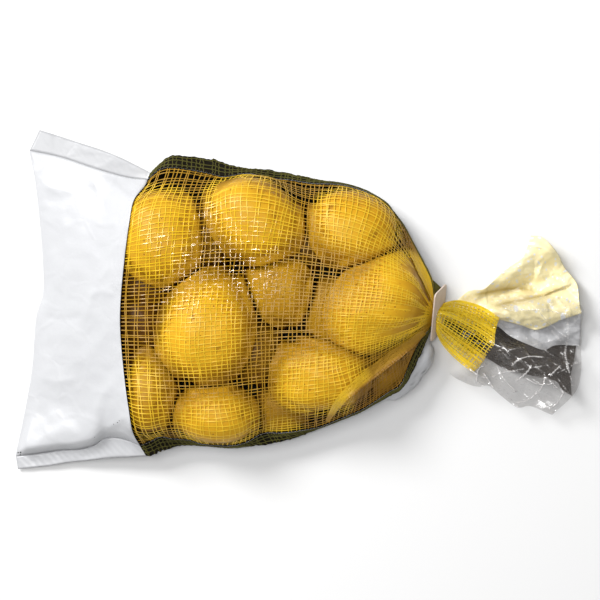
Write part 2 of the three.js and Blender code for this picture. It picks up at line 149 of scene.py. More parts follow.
LOWER_EDGE = (
    [(-219.7, -132.4, 3), (-194.6, -129.6, 4.5), (-180.5, -127.2, 6), (-163.2, -125.1, 9.5),
     (-147.4, -123.3, 12.5), (-131.7, -122.4, 15), (-119.2, -121.4, 17)],
    [(-119.2, -121.4, 17), (-115.3, -121.1, 18), (-108.3, -118.3, 19), (-92.8, -113.2, 20.5), (-85, -113.2, 21),
     (-69.6, -114, 21), (-54.1, -115.2, 21), (-38.7, -114, 21), (-23.1, -112.2, 21), (-7.7, -108.3, 21),
     (7.7, -102.9, 21.5), (15.5, -100, 22), (30.9, -93.8, 24), (46.3, -87.6, 26), (54, -83.3, 27),
     (69.4, -74.8, 28), (77.1, -70.6, 28), (81, -66.3, 28), (88.7, -52.5, 27.5), (92.6, -43.2, 27),
     (96.4, -35.4, 26.5), (98.8, -29.3, 26), (104, -19.2, 24)],
)
# The folded edge of the foot, and the edge of the net window, seen from above.
FOLD_LINE = [(-210.5, 115.5), (-205.2, 94), (-200.3, 57), (-197.2, 16), (-198.2, 1), (-202.4, -11), (-206.5, -55),
             (-213.8, -93), (-221.2, -122.7)]
NET_EDGE = [(-117.7, 92.6), (-119.3, 88.2), (-127.2, 76.4), (-130.8, 57), (-135, 25), (-138, -14), (-135.6, -52),
            (-130.8, -88), (-128, -104), (-123.8, -113.5)]
FOLD_Z = 3.5
FOLD_HALF = 2.5

FOOT_ROWS = 12
BODY_ROWS = 38
COLUMNS = 30
SAG = 0.3  # how far the back film drops in a step, under its own weight
FINE = 4  # the sheets' last grid is this many times finer
RELAX_STEPS = {1: 300, 2: 120, FINE: 60}  # for each grid, and how far a step draws each place to its neighbours
RELAX_SHARE = 0.9
EDGE_ROW = FOOT_ROWS * FINE  # the last grid's row along the net's edge

# The spread mouth. Its layers lie on each other and follow the same ridges, which run out from the neck.
# A layer is drawn inside four lines: near the neck, at its outer edge, and along its upper and lower side.
LAYER = 2.3
SPREAD_FROM, SPREAD_RISE, SPREAD_FALL, SPREAD_FLOOR = 8.0, 11.0, 16.0, 0.9
RIDGE_HEIGHT, RIDGES_PER_RADIAN, RIDGE_PHASE, RIDGE_FROM, RIDGE_FULL = 6.0, 12.0, 1.1, 15.0, 70.0
FAN_FROM, FAN_LENGTH, FAN_EDGE, FAN_LAID = 8.0, 44.0, 0.5, 3.0
FAN_STUB = 1.0  # how far the fan's bunch runs straight out of the neck
FAN = {
    "near": [(105.6, -5), (104.4, -17)],
    "far": [(154.5, -14.5), (152.5, -22), (151.3, -28.5), (150.5, -35.5), (145.5, -42.5), (141, -50), (134, -57)],
    "upper": [(105.6, -5), (110, -2.2), (117, -0.4), (122.5, 0), (131, -1.8), (142, -6), (154.5, -14.5)],
    "lower": [(104.4, -17), (105, -22), (106.5, -27), (109, -32), (113, -37.5), (118.5, -43.5), (125, -49.5),
              (134, -57)],
}
FILMS = {
    "film_black": {
        "layer": 0,
        "near": [(112, -15), (111, -20), (110, -25)],
        "far": [(216, -31), (213.5, -47), (210.5, -59), (210.5, -75)],
        "upper": [(112, -15), (121, -16), (150, -20), (185, -27), (216, -31)],
        "lower": [(110, -25), (117, -29), (130, -40), (147, -47), (159, -54), (183, -60), (199, -64), (203, -70),
                  (210.5, -75)],
    },
    "film_white": {
        "layer": 1,
        "near": [(122, -13), (122, -19)],
        "far": [(217.5, -10), (218, -24), (217.5, -36.3)],
        "upper": [(122, -13), (150, -12), (185, -14), (217.5, -10)],
        "lower": [(122, -19), (145, -21), (154, -21.5), (163, -28.5), (179.7, -36.3), (190.5, -39.7), (198, -36.3),
                  (217.5, -36.3)],
    },
    "film_yellow": {
        "layer": 2,
        "near": [(122, -1), (122, -8), (122, -15)],
        "far": [(179, 49), (187, 48), (199, 36), (205.5, 24.5), (215, 12), (216.5, -3), (218, -11)],
        "upper": [(122, -1), (132, 6.5), (142.5, 7.5), (149, 13), (160, 23), (173, 32.5), (176.3, 40), (179, 49)],
        "lower": [(122, -15), (140, -14), (154, -16), (172, -20.5), (184, -24), (202, -16.5), (218, -11)],
    },
    "film_clear": {
        "layer": 3,
        "near": [(116, -1), (121, -12), (121, -22), (118, -34)],
        "far": [(204, 1), (218, -6), (218, -25), (218, -49), (215.5, -67), (206, -80), (195.5, -90)],
        "upper": [(116, -1), (135.5, 1), (151, 2), (169, 3), (187.5, 2.5), (204, 1)],
        "lower": [(118, -34), (117, -42), (114.5, -50), (116, -57.5), (126, -64), (137.5, -68), (145.5, -67),
                  (157, -76), (169, -84), (178, -83), (195.5, -90)],
    },
}


# ---------------------------------------------------------------- curves, grids and noise


def smooth(t):
    s = np.clip(t, 0.0, 1.0)
    return s * s * (3 - 2 * s)


def mix(a, b, t):
    return a + (b - a) * t


def unit(vectors):
    """The vectors along the last axis, each drawn to a length of 1."""
    return vectors / np.maximum(np.linalg.norm(vectors, axis=-1, keepdims=True), 1e-9)


def from_to(start, end, count):
    """Equal steps from start to end as a column, one for each strand."""
    return np.linspace(start, end, count)[:, None]


STEPS_BETWEEN = 24  # between two points of an outline


def along(outline, count):
    """Places at equal steps along the smooth curve through an outline's points, first and last among them."""
    p = np.array([(*q, 0.0)[:3] for q in outline], float)
    p = np.vstack([2 * p[0] - p[1], p, 2 * p[-1] - p[-2]])
    knots = np.concatenate([[0.0], np.cumsum(np.linalg.norm(np.diff(p, axis=0), axis=1) ** 0.5)])
    dense = [p[1:2]]
    for k in range(1, len(p) - 2):
        t = from_to(knots[k], knots[k + 1], STEPS_BETWEEN + 1)[1:]

        def between(a, b, i, j):
            return a * (knots[j] - t) / (knots[j] - knots[i]) + b * (t - knots[i]) / (knots[j] - knots[i])

        a1, a2, a3 = (between(p[i], p[i + 1], i, i + 1) for i in (k - 1, k, k + 1))
        b1 = between(a1, a2, k - 1, k + 1)
        b2 = between(a2, a3, k, k + 2)
        dense.append(between(b1, b2, k, k + 1))
    dense = np.vstack(dense)
    lengths = np.concatenate([[0.0], np.cumsum(np.linalg.norm(np.diff(dense, axis=0), axis=1))])
    wanted = np.linspace(0, lengths[-1], count + 1)
    return np.stack([np.interp(wanted, lengths, dense[:, axis]) for axis in range(3)], axis=1)


def sampled(grid, rows, columns):
    """A grid's values at fractional rows and columns, drawn straight between its four nearest entries."""
    rows = np.clip(rows, 0, grid.shape[0] - 1.001)
    columns = np.clip(columns, 0, grid.shape[1] - 1.001)
    i, j = rows.astype(int), columns.astype(int)
    a, b = (rows - i)[..., None], (columns - j)[..., None]
    near = mix(grid[i, j], grid[i, j + 1], b)
    far = mix(grid[i + 1, j], grid[i + 1, j + 1], b)
    return mix(near, far, a)


def grid_normals(grid):
    """Unit normals of a grid: rows run on, columns run to the right of them, and normals point up from both."""
    down, across = np.gradient(grid, axis=0), np.gradient(grid, axis=1)
    return unit(np.cross(across, down))


class Relief:
    """Smooth random relief over a plane, between about -1 and 1, with hills a cell wide."""

    CELLS = 64  # after which it repeats
    SHIFT = (17.3, 11.7)  # keeps the origin off a corner of the cells

    def __init__(self, seed, cell):
        angles = np.random.default_rng(seed).uniform(0, 2 * math.pi, (self.CELLS, self.CELLS))
        self.slopes = np.stack([np.cos(angles), np.sin(angles)], axis=-1)
        self.cell = cell

    def __call__(self, x, y):
        u, v = np.asarray(x) / self.cell + self.SHIFT[0], np.asarray(y) / self.cell + self.SHIFT[1]
        i, j = np.floor(u).astype(int), np.floor(v).astype(int)
        a, b = u - i, v - j
        corner = {}
        for di in (0, 1):
            for dj in (0, 1):
                slope = self.slopes[(i + di) % self.CELLS, (j + dj) % self.CELLS]
                corner[di, dj] = slope[..., 0] * (a - di) + slope[..., 1] * (b - dj)
        wa, wb = a**3 * (a * (6 * a - 15) + 10), b**3 * (b * (6 * b - 15) + 10)
        return 1.5 * mix(mix(corner[0, 0], corner[1, 0], wa), mix(corner[0, 1], corner[1, 1], wa), wb)


def facets(x, y, seed, cell, height, count=6):
    """Crumples of stiff film: flat facets about a cell wide that meet in sharp lines, up to about height."""
    rng = np.random.default_rng(seed)
    bend = Relief(seed, 3 * cell)(x, y)
    total = 0.0
    for _ in range(count):
        angle, phase, turn = rng.uniform(0, math.pi), rng.uniform(0, 1), rng.uniform(-0.5, 0.5)
        wide = cell * rng.uniform(0.7, 2.2)
        u = (x * math.cos(angle) + y * math.sin(angle)) / wide + phase + turn * bend
        total = total + (1 - 4 * np.abs(u - np.floor(u) - 0.5)) * wide / cell
    return height * total / count


CREASE_STEPS = 40  # along a crease, of which it rises in the first and dies out in the last CREASE_END
CREASE_END = 10


def course_of(line):
    """The line's direction at each of its points."""
    return unit(np.gradient(line, axis=0))


def crease(places, path, height, width, step=0.0):
    """How far a crease along a path lifts each place, seen from above. It is sharp, and dies out at its ends.

    height lifts its line, and step raises all that lies near it on the left of the path.
    """
    line = along(path, CREASE_STEPS)[:, :2]
    offset = places[..., None, :2] - line
    nearest = np.argmin((offset**2).sum(-1), axis=-1)
    course = course_of(line)
    gap = np.take_along_axis(offset, nearest[..., None, None], axis=-2)[..., 0, :]
    aside = course[nearest, 0] * gap[..., 1] - course[nearest, 1] * gap[..., 0]
    away = np.linalg.norm(gap, axis=-1)
    ends = smooth(np.minimum(nearest, CREASE_STEPS - nearest) / CREASE_END)
    ridge = height * np.exp(-away / width)
    lift = step * smooth(0.5 + aside / width) * np.exp(-((away / (4 * width)) ** 2))
    return ends * (ridge + lift)


# ---------------------------------------------------------------- the potatoes as solids


class Potato:
    """One tuber: an ellipsoid, a little boxy and lumpy, that rests on the back film."""

    BOXY = 2.25
    WAVES = 7
    PROBES = 4000  # directions in which its lowest place is looked for
    NEAR = 1.25  # only what lies this near, in half sizes, is pushed out

    def __init__(self, middle, half, turn, seed):
        rng = np.random.default_rng(seed)
        self.waves = rng.normal(size=(self.WAVES, 3)) * rng.uniform(1.2, 3.2, (self.WAVES, 1))
        self.phases = rng.uniform(0, 2 * math.pi, self.WAVES)
        self.heights = rng.uniform(0.008, 0.02, self.WAVES)
        self.half = np.array(half, float)
        angle = math.radians(turn)
        self.axes = np.array(
            [[math.cos(angle), math.sin(angle), 0], [-math.sin(angle), math.cos(angle), 0], [0, 0, 1]]
        )
        self.middle = np.array([*middle, 0.0])
        ball = unit(rng.normal(size=(self.PROBES, 3)))
        self.middle[2] = SKIN - (ball * self.swell(ball)[:, None] * self.half)[:, 2].min()

    def swell(self, directions):
        """How far the skin stands out from a unit ball, in each direction."""
        boxy = (np.abs(directions) ** self.BOXY).sum(-1) ** (-1 / self.BOXY)
        lumps = (self.heights * np.sin(directions @ self.waves.T + self.phases)).sum(-1)
        return boxy * (1 + lumps)

    def gap(self, places):
        """How far the places lie outside the skin, roughly."""
        local = (places - self.middle) @ self.axes.T / self.half
        depth = np.maximum(np.linalg.norm(local, axis=-1), 0.01)
        return (depth - self.swell(local / depth[..., None])) * self.half.mean()

    def push_out(self, places):
        """Moves the places inside the skin, and the room over it, straight out to it."""
        half = self.half + SKIN
        local = (places - self.middle) @ self.axes.T / half
        depth = np.linalg.norm(local, axis=-1)
        near = (depth < self.NEAR) & (depth > 0.01)
        directions = local[near] / depth[near, None]
        reach = self.swell(directions)
        inside = depth[near] < reach
        moved = places[near]
        moved[inside] = self.middle + (directions * reach[:, None] * half)[inside] @ self.axes
        places[near] = moved

    def push_aside(self, places, side):
        """Moves the places straight up or down until they are clear of the skin and the room over it."""
        half = self.half + SKIN
        local = (places - self.middle) @ self.axes.T / half
        away = np.linalg.norm(local[..., :2], axis=-1)
        local[..., 2] = side * np.sqrt(np.maximum(1 - away**2, 0))
        reach = self.swell(local / np.maximum(np.linalg.norm(local, axis=-1, keepdims=True), 0.01))
        height = self.middle[2] + side * half[2] * np.sqrt(np.maximum(reach**2 - away**2, 0))
        clear = side * np.maximum(side * places[..., 2], side * height)
        places[..., 2] = np.where(away < reach, clear, places[..., 2])


@once
def tubers():
    return [Potato(middle, half, turn, seed=20 + k) for k, (middle, half, turn) in enumerate(POTATOES)]


@once
def skins():
    return [Potato(middle, half, turn, seed=20 + k) for k, (middle, half, turn, _, _) in enumerate(SKINS)]


# ---------------------------------------------------------------- the bag's two sheets


def seam_places(curves, scale):
    """Where each row of a sheet meets a seam or a seal's edge."""
    foot, body = along(curves[0], FOOT_ROWS * scale), along(curves[1], BODY_ROWS * scale)
    return np.vstack([foot, body[1:]])


def loose_sheet(side, scale):
    """The sheet before it is drawn tight. side is 1 for the net side and -1 for the back."""
    upper, lower = seam_places(UPPER_SEAM, scale), seam_places(LOWER_SEAM, scale)
    t = np.linspace(0, 1, COLUMNS * scale + 1)
    sheet = mix(upper[:, None], lower[:, None], t[None, :, None])
    bow = np.sqrt(np.sin(np.pi * t))
    if side > 0:
        rise = mix(FOLD_HALF, 2 * NECK[2], smooth(np.arange(len(sheet)) / (FOOT_ROWS * scale)))
        sheet[..., 2] += rise[:, None] * bow
    else:
        sheet[..., 2] *= 1 - bow
    sheet[0] = along(FOLD_LINE, COLUMNS * scale)
    sheet[0, :, 2] = FOLD_Z + side * FOLD_HALF * bow
    ring = np.stack([0 * t, np.cos(np.pi * t), side * np.sin(np.pi * t)], axis=1)
    sheet[-1] = NECK + NECK_RADIUS * ring
    return sheet


def drawn_tight(sheet, side, scale, solids):
    """Lets a sheet shrink onto the potatoes until it rests."""
    edge_row = FOOT_ROWS * scale
    net_edge = along(NET_EDGE, COLUMNS * scale)[1:-1, :2]
    for _ in range(RELAX_STEPS[scale]):
        neighbours = sheet[:-2, 1:-1] + sheet[2:, 1:-1] + sheet[1:-1, :-2] + sheet[1:-1, 2:]
        inner = mix(sheet[1:-1, 1:-1], neighbours / 4, RELAX_SHARE)
        if side < 0:
            inner[..., 2] -= SAG / scale**2
        for solid in solids:
            solid.push_out(inner)
        inner[edge_row - 1, :, :2] = net_edge
        for solid in solids:
            solid.push_aside(inner[edge_row - 1], side)
        inner[..., 2] = np.maximum(inner[..., 2], 0.0)
        sheet[1:-1, 1:-1] = inner
    return sheet


def tight_sheet(side, solids):
    """One side of the bag as a grid of places: rows from the foot fold to the neck, columns from seam to seam."""
    sheet = None
    for scale in RELAX_STEPS:
        coarse, sheet = sheet, loose_sheet(side, scale)
        if coarse is not None:
            rows, columns = np.meshgrid(*(np.arange(n) / 2 for n in sheet.shape[:2]), indexing="ij")
            sheet[1:-1, 1:-1] = sampled(coarse, rows, columns)[1:-1, 1:-1]
        sheet = drawn_tight(sheet, side, scale, solids)
    return sheet


@once
def front_sheet():
    return tight_sheet(1, tubers())


@once
def back_sheet():
    return tight_sheet(-1, [*tubers(), *(Potato(*pocket, seed=3) for pocket in AIR_POCKETS)])


# ---------------------------------------------------------------- mesh building


def add_mesh(name, places, faces, materials, slot, nodes=(), face_materials=None, uv=None, rounded=True):
    """Makes a piece from places in millimetres, gives it its materials and fixes it to the frame."""
    mesh = bpy.data.meshes.new(name)
    mesh.from_pydata((np.asarray(places).reshape(-1, 3) * MM).tolist(), [], np.asarray(faces).tolist())
    for material in materials:
        mesh.materials.append(material)
    if face_materials is not None:
        mesh.polygons.foreach_set("material_index", np.asarray(face_materials, np.int32))
    if uv is not None:
        corners = np.zeros(len(mesh.loops), np.int32)
        mesh.loops.foreach_get("vertex_index", corners)
        layer = mesh.uv_layers.new(name="flat")
        layer.data.foreach_set("uv", np.asarray(uv, np.float32).reshape(-1, 2)[corners].ravel())
    mesh.polygons.foreach_set("use_smooth", np.full(len(mesh.polygons), rounded))
    mesh.update()
    piece = bpy.data.objects.new(name, mesh)
    bpy.context.scene.collection.objects.link(piece)
    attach(piece, BODY)
    if nodes:
        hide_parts(*nodes)
    return piece


def mark_places(piece, name, values):
    """Gives a piece a named value at each of its places, which its material reads."""
    mark = piece.data.attributes.new(name, "FLOAT", "POINT")
    mark.data.foreach_set("value", np.asarray(values, np.float32).ravel())


def quads(shape):
    """A grid's numbered places, and its four-sided faces."""
    index = np.arange(shape[0] * shape[1]).reshape(shape[:2])
    faces = np.stack([index[:-1, :-1], index[:-1, 1:], index[1:, 1:], index[1:, :-1]], axis=-1)
    return index, faces.reshape(-1, 4)


def shell(grid, thickness):
    """A grid as a thin closed skin. Returns its places, faces and, for each face, 0 above, 1 below and 0 at rims."""
    rows, columns = grid.shape[:2]
    normal = grid_normals(grid) * thickness / 2
    places = np.concatenate([(grid + normal).reshape(-1, 3), (grid - normal).reshape(-1, 3)])
    index, top = quads(grid.shape)
    bottom = top[:, ::-1] + rows * columns
    loop = np.concatenate([index[0, :-1], index[:-1, -1], index[-1, :0:-1], index[:0:-1, 0]])
    after = np.roll(loop, -1)
    rim = np.stack([after, loop, loop + rows * columns, after + rows * columns], axis=1)
    faces = np.concatenate([top, bottom, rim])
    kinds = np.repeat([0, 1, 0], [len(top), len(bottom), len(rim)])
    return places, faces, kinds


def strands(paths, normals, width, thickness, twist):
    """Flat tapes along many paths at once. paths and normals are arrays of strand, step and axis."""
    course = unit(np.gradient(paths, axis=1))
    across = unit(np.cross(course, normals))
    up = np.cross(across, course)
    wide = across * np.cos(twist)[..., None] + up * np.sin(twist)[..., None]
    thin = up * np.cos(twist)[..., None] - across * np.sin(twist)[..., None]
    w, h = np.asarray(width)[..., None] / 2, thickness / 2
    corners = [(1, 1), (-1, 1), (-1, -1), (1, -1)]
    places = np.stack([paths + a * w * wide + b * h * thin for a, b in corners], axis=2)
    count, steps = paths.shape[:2]
    index = np.arange(count * steps * 4).reshape(count, steps, 4)
    a, b = index[:, :-1], index[:, 1:]
    sides = np.stack([a, b, np.roll(b, -1, axis=2), np.roll(a, -1, axis=2)], axis=-1).reshape(-1, 4)
    ends = np.concatenate([index[:, 0], index[:, -1, ::-1]])
    return places, np.concatenate([sides, ends])


# ---------------------------------------------------------------- what a user may change


def colour(name, description, default):
    return FloatVectorProperty(name=name, description=description, default=default, subtype="COLOR", min=0, max=1)


def length(name, description, default):
    return FloatProperty(name=name, description=description, default=default, unit="LENGTH", subtype="DISTANCE")


class PotatoSettings(bpy.types.PropertyGroup):
    skin: colour("Skin", "The washed skin's main colour", (0.66, 0.365, 0.016))
    shade: colour("Patches", "The duller patches of the skin", (0.56, 0.275, 0.010))
    # The deep sides' colour is painted shade: the brown of the shade deep between the potatoes.
    deep: colour("Deep sides", "The sides that lie deep between other potatoes", (0.080, 0.025, 0.001))
    speck: colour("Specks", "The skin's small pores and its eyes", (0.20, 0.08, 0.010))
    detail: IntProperty(name="Detail", description="Subdivisions of each potato", default=6, min=3, max=6)


class NetSettings(bpy.types.PropertyGroup):
    tape: colour("Net", "The plastic tape's colour", (0.75, 0.48, 0.014))
    # The fan's colour is painted light: the same tape made lighter where it spreads in the mouth.
    fan: colour("Net of the mouth", "The same tape where nothing lies under it", (0.86, 0.62, 0.030))
    shaded: colour("Shaded net", "The tape between the potatoes and under other net", (0.29, 0.14, 0.005))
    sealed: colour("Sealed net", "The net where it is welded into the black seals", (0.088, 0.082, 0.018))
    width: length("Tape width", "How wide a tape of the net is", 0.00066)
    thickness: length("Tape thickness", "How thick a tape of the net is", 0.00012)
    lengthwise: IntProperty(name="Lengthwise tapes", description="Tapes that run to the neck", default=73, min=10)
    crosswise: IntProperty(name="Crosswise tapes", description="Tapes from seam to seam", default=79, min=10)


class FilmSettings(bpy.types.PropertyGroup):
    white: colour("White film", "The sleeve's outer side", (0.525, 0.53, 0.545))
    # The creased colour is painted shade, dark along the tight folds of the bulging back film.
    creased: colour("Creased white film", "The white film in its tight folds", (0.045, 0.045, 0.043))
    black: colour("Black film", "The sleeve's inner side", (0.006, 0.0046, 0.0022))
    yellow: colour("Yellow film", "The printed film of the mouth", (0.95, 0.84, 0.49))
    # The folded colour is painted shade where the film turns from the light, and the deeper colour of doubled film.
    folded: colour("Folded yellow film", "The yellow film where it is doubled or turns away", (0.36, 0.245, 0.038))
    marks: colour("Marks", "The small marks on the yellow film", (0.84, 0.84, 0.82))
    clear: colour("Clear film", "The tint of the clear film", (0.16, 0.139, 0.126))
    # The creases' tint is a painted highlight: white lines along the clear film's sharp creases.
    crests: colour("Clear film's creases", "The tint of the clear film's sharp creases", (0.80, 0.78, 0.77))
    cover: FloatProperty(name="Clear film cover", description="How much each face of the film hides", default=0.20)
    tag: colour("Tag", "The tag's plastic", (0.61, 0.50, 0.425))
    thickness: length("Film thickness", "How thick a film is drawn", 0.00025)


class StageSettings(bpy.types.PropertyGroup):
    floor: colour("Floor", "The pale floor", (0.80, 0.80, 0.80))
    camera_height: length("Camera height", "How high the camera hangs", 2.5)
    view_width: length("View width", "The width that the camera sees at the bag", 0.462)
    side: FloatProperty(name="Side light", description="Power of the lamp that throws the shadow", default=32.0)
    soft: FloatProperty(name="Soft light", description="Power of the large soft lamp above, to the left", default=14.0)
    high: FloatProperty(name="High light", description="Power of the small lamp high above the bag", default=20.0)
    fill: FloatProperty(name="Fill light", description="Strength of the light from all sides", default=0.42)
    zenith: FloatProperty(name="Light overhead", description="Strength of the same light overhead", default=0.2)


GROUPS = {
    "potato_net_potatoes": PotatoSettings,
    "potato_net_net": NetSettings,
    "potato_net_films": FilmSettings,
    "potato_net_stage": StageSettings,
}


def settings(name):
    return getattr(bpy.context.scene, "potato_net_" + name)


# ---------------------------------------------------------------- materials


class Nodes:
    """A node tree that is filled by short calls: new() adds a node, with its inputs by name or number."""

    def __init__(self, tree):
        self.tree = tree

    def new(self, kind, inputs=None, **options):
        node = self.tree.nodes.new("ShaderNode" + kind)
        for option, value in options.items():
            setattr(node, option, value)
        for socket, value in (inputs or {}).items():
            self.set(node.inputs[socket], value)
        return node

    def set(self, socket, value):
        if isinstance(value, bpy.types.NodeSocket):
            self.tree.links.new(value, socket)
        elif hasattr(value, "__len__") and len(value) == 3 and socket.type == "RGBA":
            socket.default_value = (*value, 1.0)
        else:
            socket.default_value = value

    def mark(self, name):
        """The value that mark_places gave to the piece under this name."""
        return self.new("Attribute", attribute_name=name).outputs["Fac"]

    def math(self, operation, a, b):
        return self.new("Math", {0: a, 1: b}, operation=operation).outputs[0]

    def ramp(self, value, low, high, to_low=0.0, to_high=1.0):
        inputs = {"Value": value, "From Min": low, "From Max": high, "To Min": to_low, "To Max": to_high}
        return self.new("MapRange", inputs, interpolation_type="SMOOTHSTEP").outputs["Result"]

    def blend(self, factor, a, b):
        node = self.new("Mix", data_type="RGBA")
        for socket, value in ((0, factor), (6, a), (7, b)):
            self.set(node.inputs[socket], value)
        return node.outputs[2]

    def noise(self, place, scale, detail=3.0, roughness=0.55):
        inputs = {"Vector": place, "Scale": scale, "Detail": detail, "Roughness": roughness}
        return self.new("TexNoise", inputs).outputs["Fac"]


def node_group(name, inputs, output, build):
    """A shader node group that is built once. An input has a name, a kind and a default, the output a name."""
    if name in bpy.data.node_groups:
        return bpy.data.node_groups[name]
    tree = bpy.data.node_groups.new(name, "ShaderNodeTree")
    for socket, kind, default in inputs:
        made = tree.interface.new_socket(socket, in_out="INPUT", socket_type="NodeSocket" + kind)
        if default is not None:
            made.default_value = default
    tree.interface.new_socket(output, in_out="OUTPUT", socket_type="NodeSocketFloat")
    nodes = Nodes(tree)
    source, sink = tree.nodes.new("NodeGroupInput"), tree.nodes.new("NodeGroupOutput")
    nodes.set(sink.inputs[output], build(nodes, source.outputs))
    return tree


def film_relief():
    """Height of a film's fine creases and ripples."""

    def build(nodes, given):
        place = given["Place"]
        bent = nodes.new("VectorMath", {0: place}, operation="ADD")
        swirl = nodes.new("TexNoise", {"Vector": place, "Scale": given["Scale"], "Detail": 2.0})
        shift = nodes.new("VectorMath", {0: swirl.outputs["Color"], "Scale": 0.012}, operation="SCALE")
        nodes.set(bent.inputs[1], shift.outputs[0])
        cells = nodes.new(
            "TexVoronoi", {"Vector": bent.outputs[0], "Scale": given["Scale"]}, feature="DISTANCE_TO_EDGE"
        )
        crest = nodes.ramp(cells.outputs["Distance"], 0.0, 0.16, 1.0, 0.0)
        ripple = nodes.noise(place, nodes.math("MULTIPLY", given["Scale"], 2.6), 4.0, 0.6)
        crests = nodes.math("MULTIPLY", crest, given["Creases"])
        return nodes.math("ADD", crests, nodes.math("MULTIPLY", ripple, given["Ripples"]))

    sockets = [("Place", "Vector", None), *((name, "Float", 1.0) for name in ("Scale", "Creases", "Ripples"))]
    return node_group("film relief", sockets, "Height", build)


def mottle():
    """A mask of soft uneven patches, for colour and roughness."""

    def build(nodes, given):
        broad = nodes.noise(given["Place"], given["Scale"], 4.0, 0.6)
        mask = nodes.ramp(broad, 0.38, 0.66)
        return nodes.math("MULTIPLY", mask, given["Amount"])

    sockets = [("Place", "Vector", None), *((name, "Float", 1.0) for name in ("Scale", "Amount"))]
    return node_group("mottle", sockets, "Mask", build)


def shader(name, **inputs):
    """A new material with one Principled shader. Returns the material, its nodes, the shader and object places."""
    material = bpy.data.materials.new(name)
    material.use_nodes = True
    nodes = Nodes(material.node_tree)
    principled = material.node_tree.nodes["Principled BSDF"]
    for socket, value in inputs.items():
        nodes.set(principled.inputs[socket.replace("_", " ")], value)
    place = nodes.new("TexCoord").outputs["Object"]
    return material, nodes, principled, place


def painted(nodes, principled, mask, paint):
    """Lays another colour over the shader's base colour, where the mask is."""
    base = principled.inputs["Base Color"]
    nodes.set(base, nodes.blend(mask, base.links[0].from_socket, paint))


def uneven_patches(nodes, place, scale, amount):
    return grouped(nodes, mottle(), {"Place": place, "Scale": scale, "Amount": amount})


def bump(nodes, principled, height, distance):
    made = nodes.new("Bump", {"Height": height, "Distance": distance, "Strength": 1.0})
    nodes.set(principled.inputs["Normal"], made.outputs["Normal"])


def grouped(nodes, tree, inputs):
    node = nodes.new("Group", node_tree=tree)
    for socket, value in inputs.items():
        nodes.set(node.inputs[socket], value)
    return node.outputs[0]


@once
def skin_material():
    """Washed yellow potato skin: mottled, with pores, darker eyes and a moist sheen."""
    look = settings("potatoes")
    material, nodes, principled, place = shader("potato skin", Specular_IOR_Level=0.14)
    patches = uneven_patches(nodes, place, 38.0, 0.55)
    fine = uneven_patches(nodes, place, 150.0, 0.30)
    cells = nodes.new("TexVoronoi", {"Vector": place, "Scale": 230.0, "Randomness": 1.0})
    chosen = nodes.ramp(nodes.new("SeparateColor", {0: cells.outputs["Color"]}).outputs[0], 0.55, 0.6)
    pore = nodes.math("MULTIPLY", nodes.ramp(cells.outputs["Distance"], 0.10, 0.20, 0.75, 0.0), chosen)
    speck = nodes.math("MAXIMUM", pore, nodes.math("MULTIPLY", nodes.mark("eye"), 0.6))
    nodes.set(principled.inputs["Base Color"], nodes.blend(patches, look.skin, look.shade))
    # Painted shade: the deep sides' colour darkens the skin where it lies deep between the potatoes.
    for mask, paint in ((fine, look.shade), (nodes.mark("deep"), look.deep), (speck, look.speck)):
        painted(nodes, principled, mask, paint)
    nodes.set(principled.inputs["Roughness"], nodes.ramp(fine, 0.0, 0.3, 0.38, 0.50))
    grain = nodes.noise(place, 420.0, 5.0, 0.65)
    bump(nodes, principled, nodes.math("SUBTRACT", grain, pore), 0.00016)
    return material


@once
def net_material(name="yellow net"):
    """Glossy yellow tape, a little uneven in colour, with painted shade where its piece marks it."""
    look = settings("net")
    material, nodes, principled, place = shader(name, Specular_IOR_Level=0.45)
    # Painted light: the mouth's fan is given a lighter copy of the same tape.
    tape = look.tape if name == "yellow net" else look.fan
    duller = [share * c for share, c in zip((0.86, 0.80, 0.6), tape)]
    uneven = uneven_patches(nodes, place, 60.0, 0.45)
    nodes.set(principled.inputs["Base Color"], nodes.blend(uneven, tape, duller))
    painted(nodes, principled, nodes.mark("shade"), look.shaded)
    worn = nodes.ramp(nodes.mark("worn"), 0.0, 1.0, 0.05, 0.36)
    grain = nodes.math("MULTIPLY", nodes.noise(place, 900.0, 2.0), 0.2)
    nodes.set(principled.inputs["Roughness"], nodes.math("ADD", grain, worn))
    return material


# Each film's surface: its roughness, its creases' scale, strength and depth, and its gloss.
SURFACES = {
    "white film": (0.34, 45.0, 0.25, 0.0005, 0.5),
    "welded film": (0.34, 45.0, 0.3, 0.0005, 0.5),
    "yellow film": (0.3, 55.0, 0.6, 0.0007, 0.5),
    "clear film": (0.08, 60.0, 0.5, 0.0005, 0.9),
    "black film": (0.55, 60.0, 0.6, 0.0008, 0.06),
    "glossy black film": (0.2, 40.0, 0.8, 0.0012, 0.4),
    "sealed net": (0.5, 60.0, 0.3, 0.0003, 0.1),
}


def film_material(name, tint, shares, surface=None):
    """Plastic film: tint is its colour, and shares what is left of each colour channel in its duller patches."""
    roughness, scale, creases, depth, gloss = SURFACES[surface or name]
    material, nodes, principled, place = shader(name, Specular_IOR_Level=gloss)
    uneven = uneven_patches(nodes, place, 30.0, 0.6)
    tinted = [share * c for share, c in zip(shares, tint)]
    nodes.set(principled.inputs["Base Color"], nodes.blend(uneven, tint, tinted))
    nodes.set(principled.inputs["Roughness"], nodes.ramp(uneven, 0.0, 0.6, roughness, roughness + 0.1))
    height = grouped(nodes, film_relief(), {"Place": place, "Scale": scale, "Creases": creases, "Ripples": 0.5})
    bump(nodes, principled, height, depth)
    return material, nodes, principled, place


@once
def white_material():
    """White film, with dark lines of painted shade along its tight folds."""
    look = settings("films")
    material, nodes, principled, _ = film_material("white film", look.white, (0.95, 0.95, 0.95))
    painted(nodes, principled, nodes.mark("fold"), look.creased)
    return material


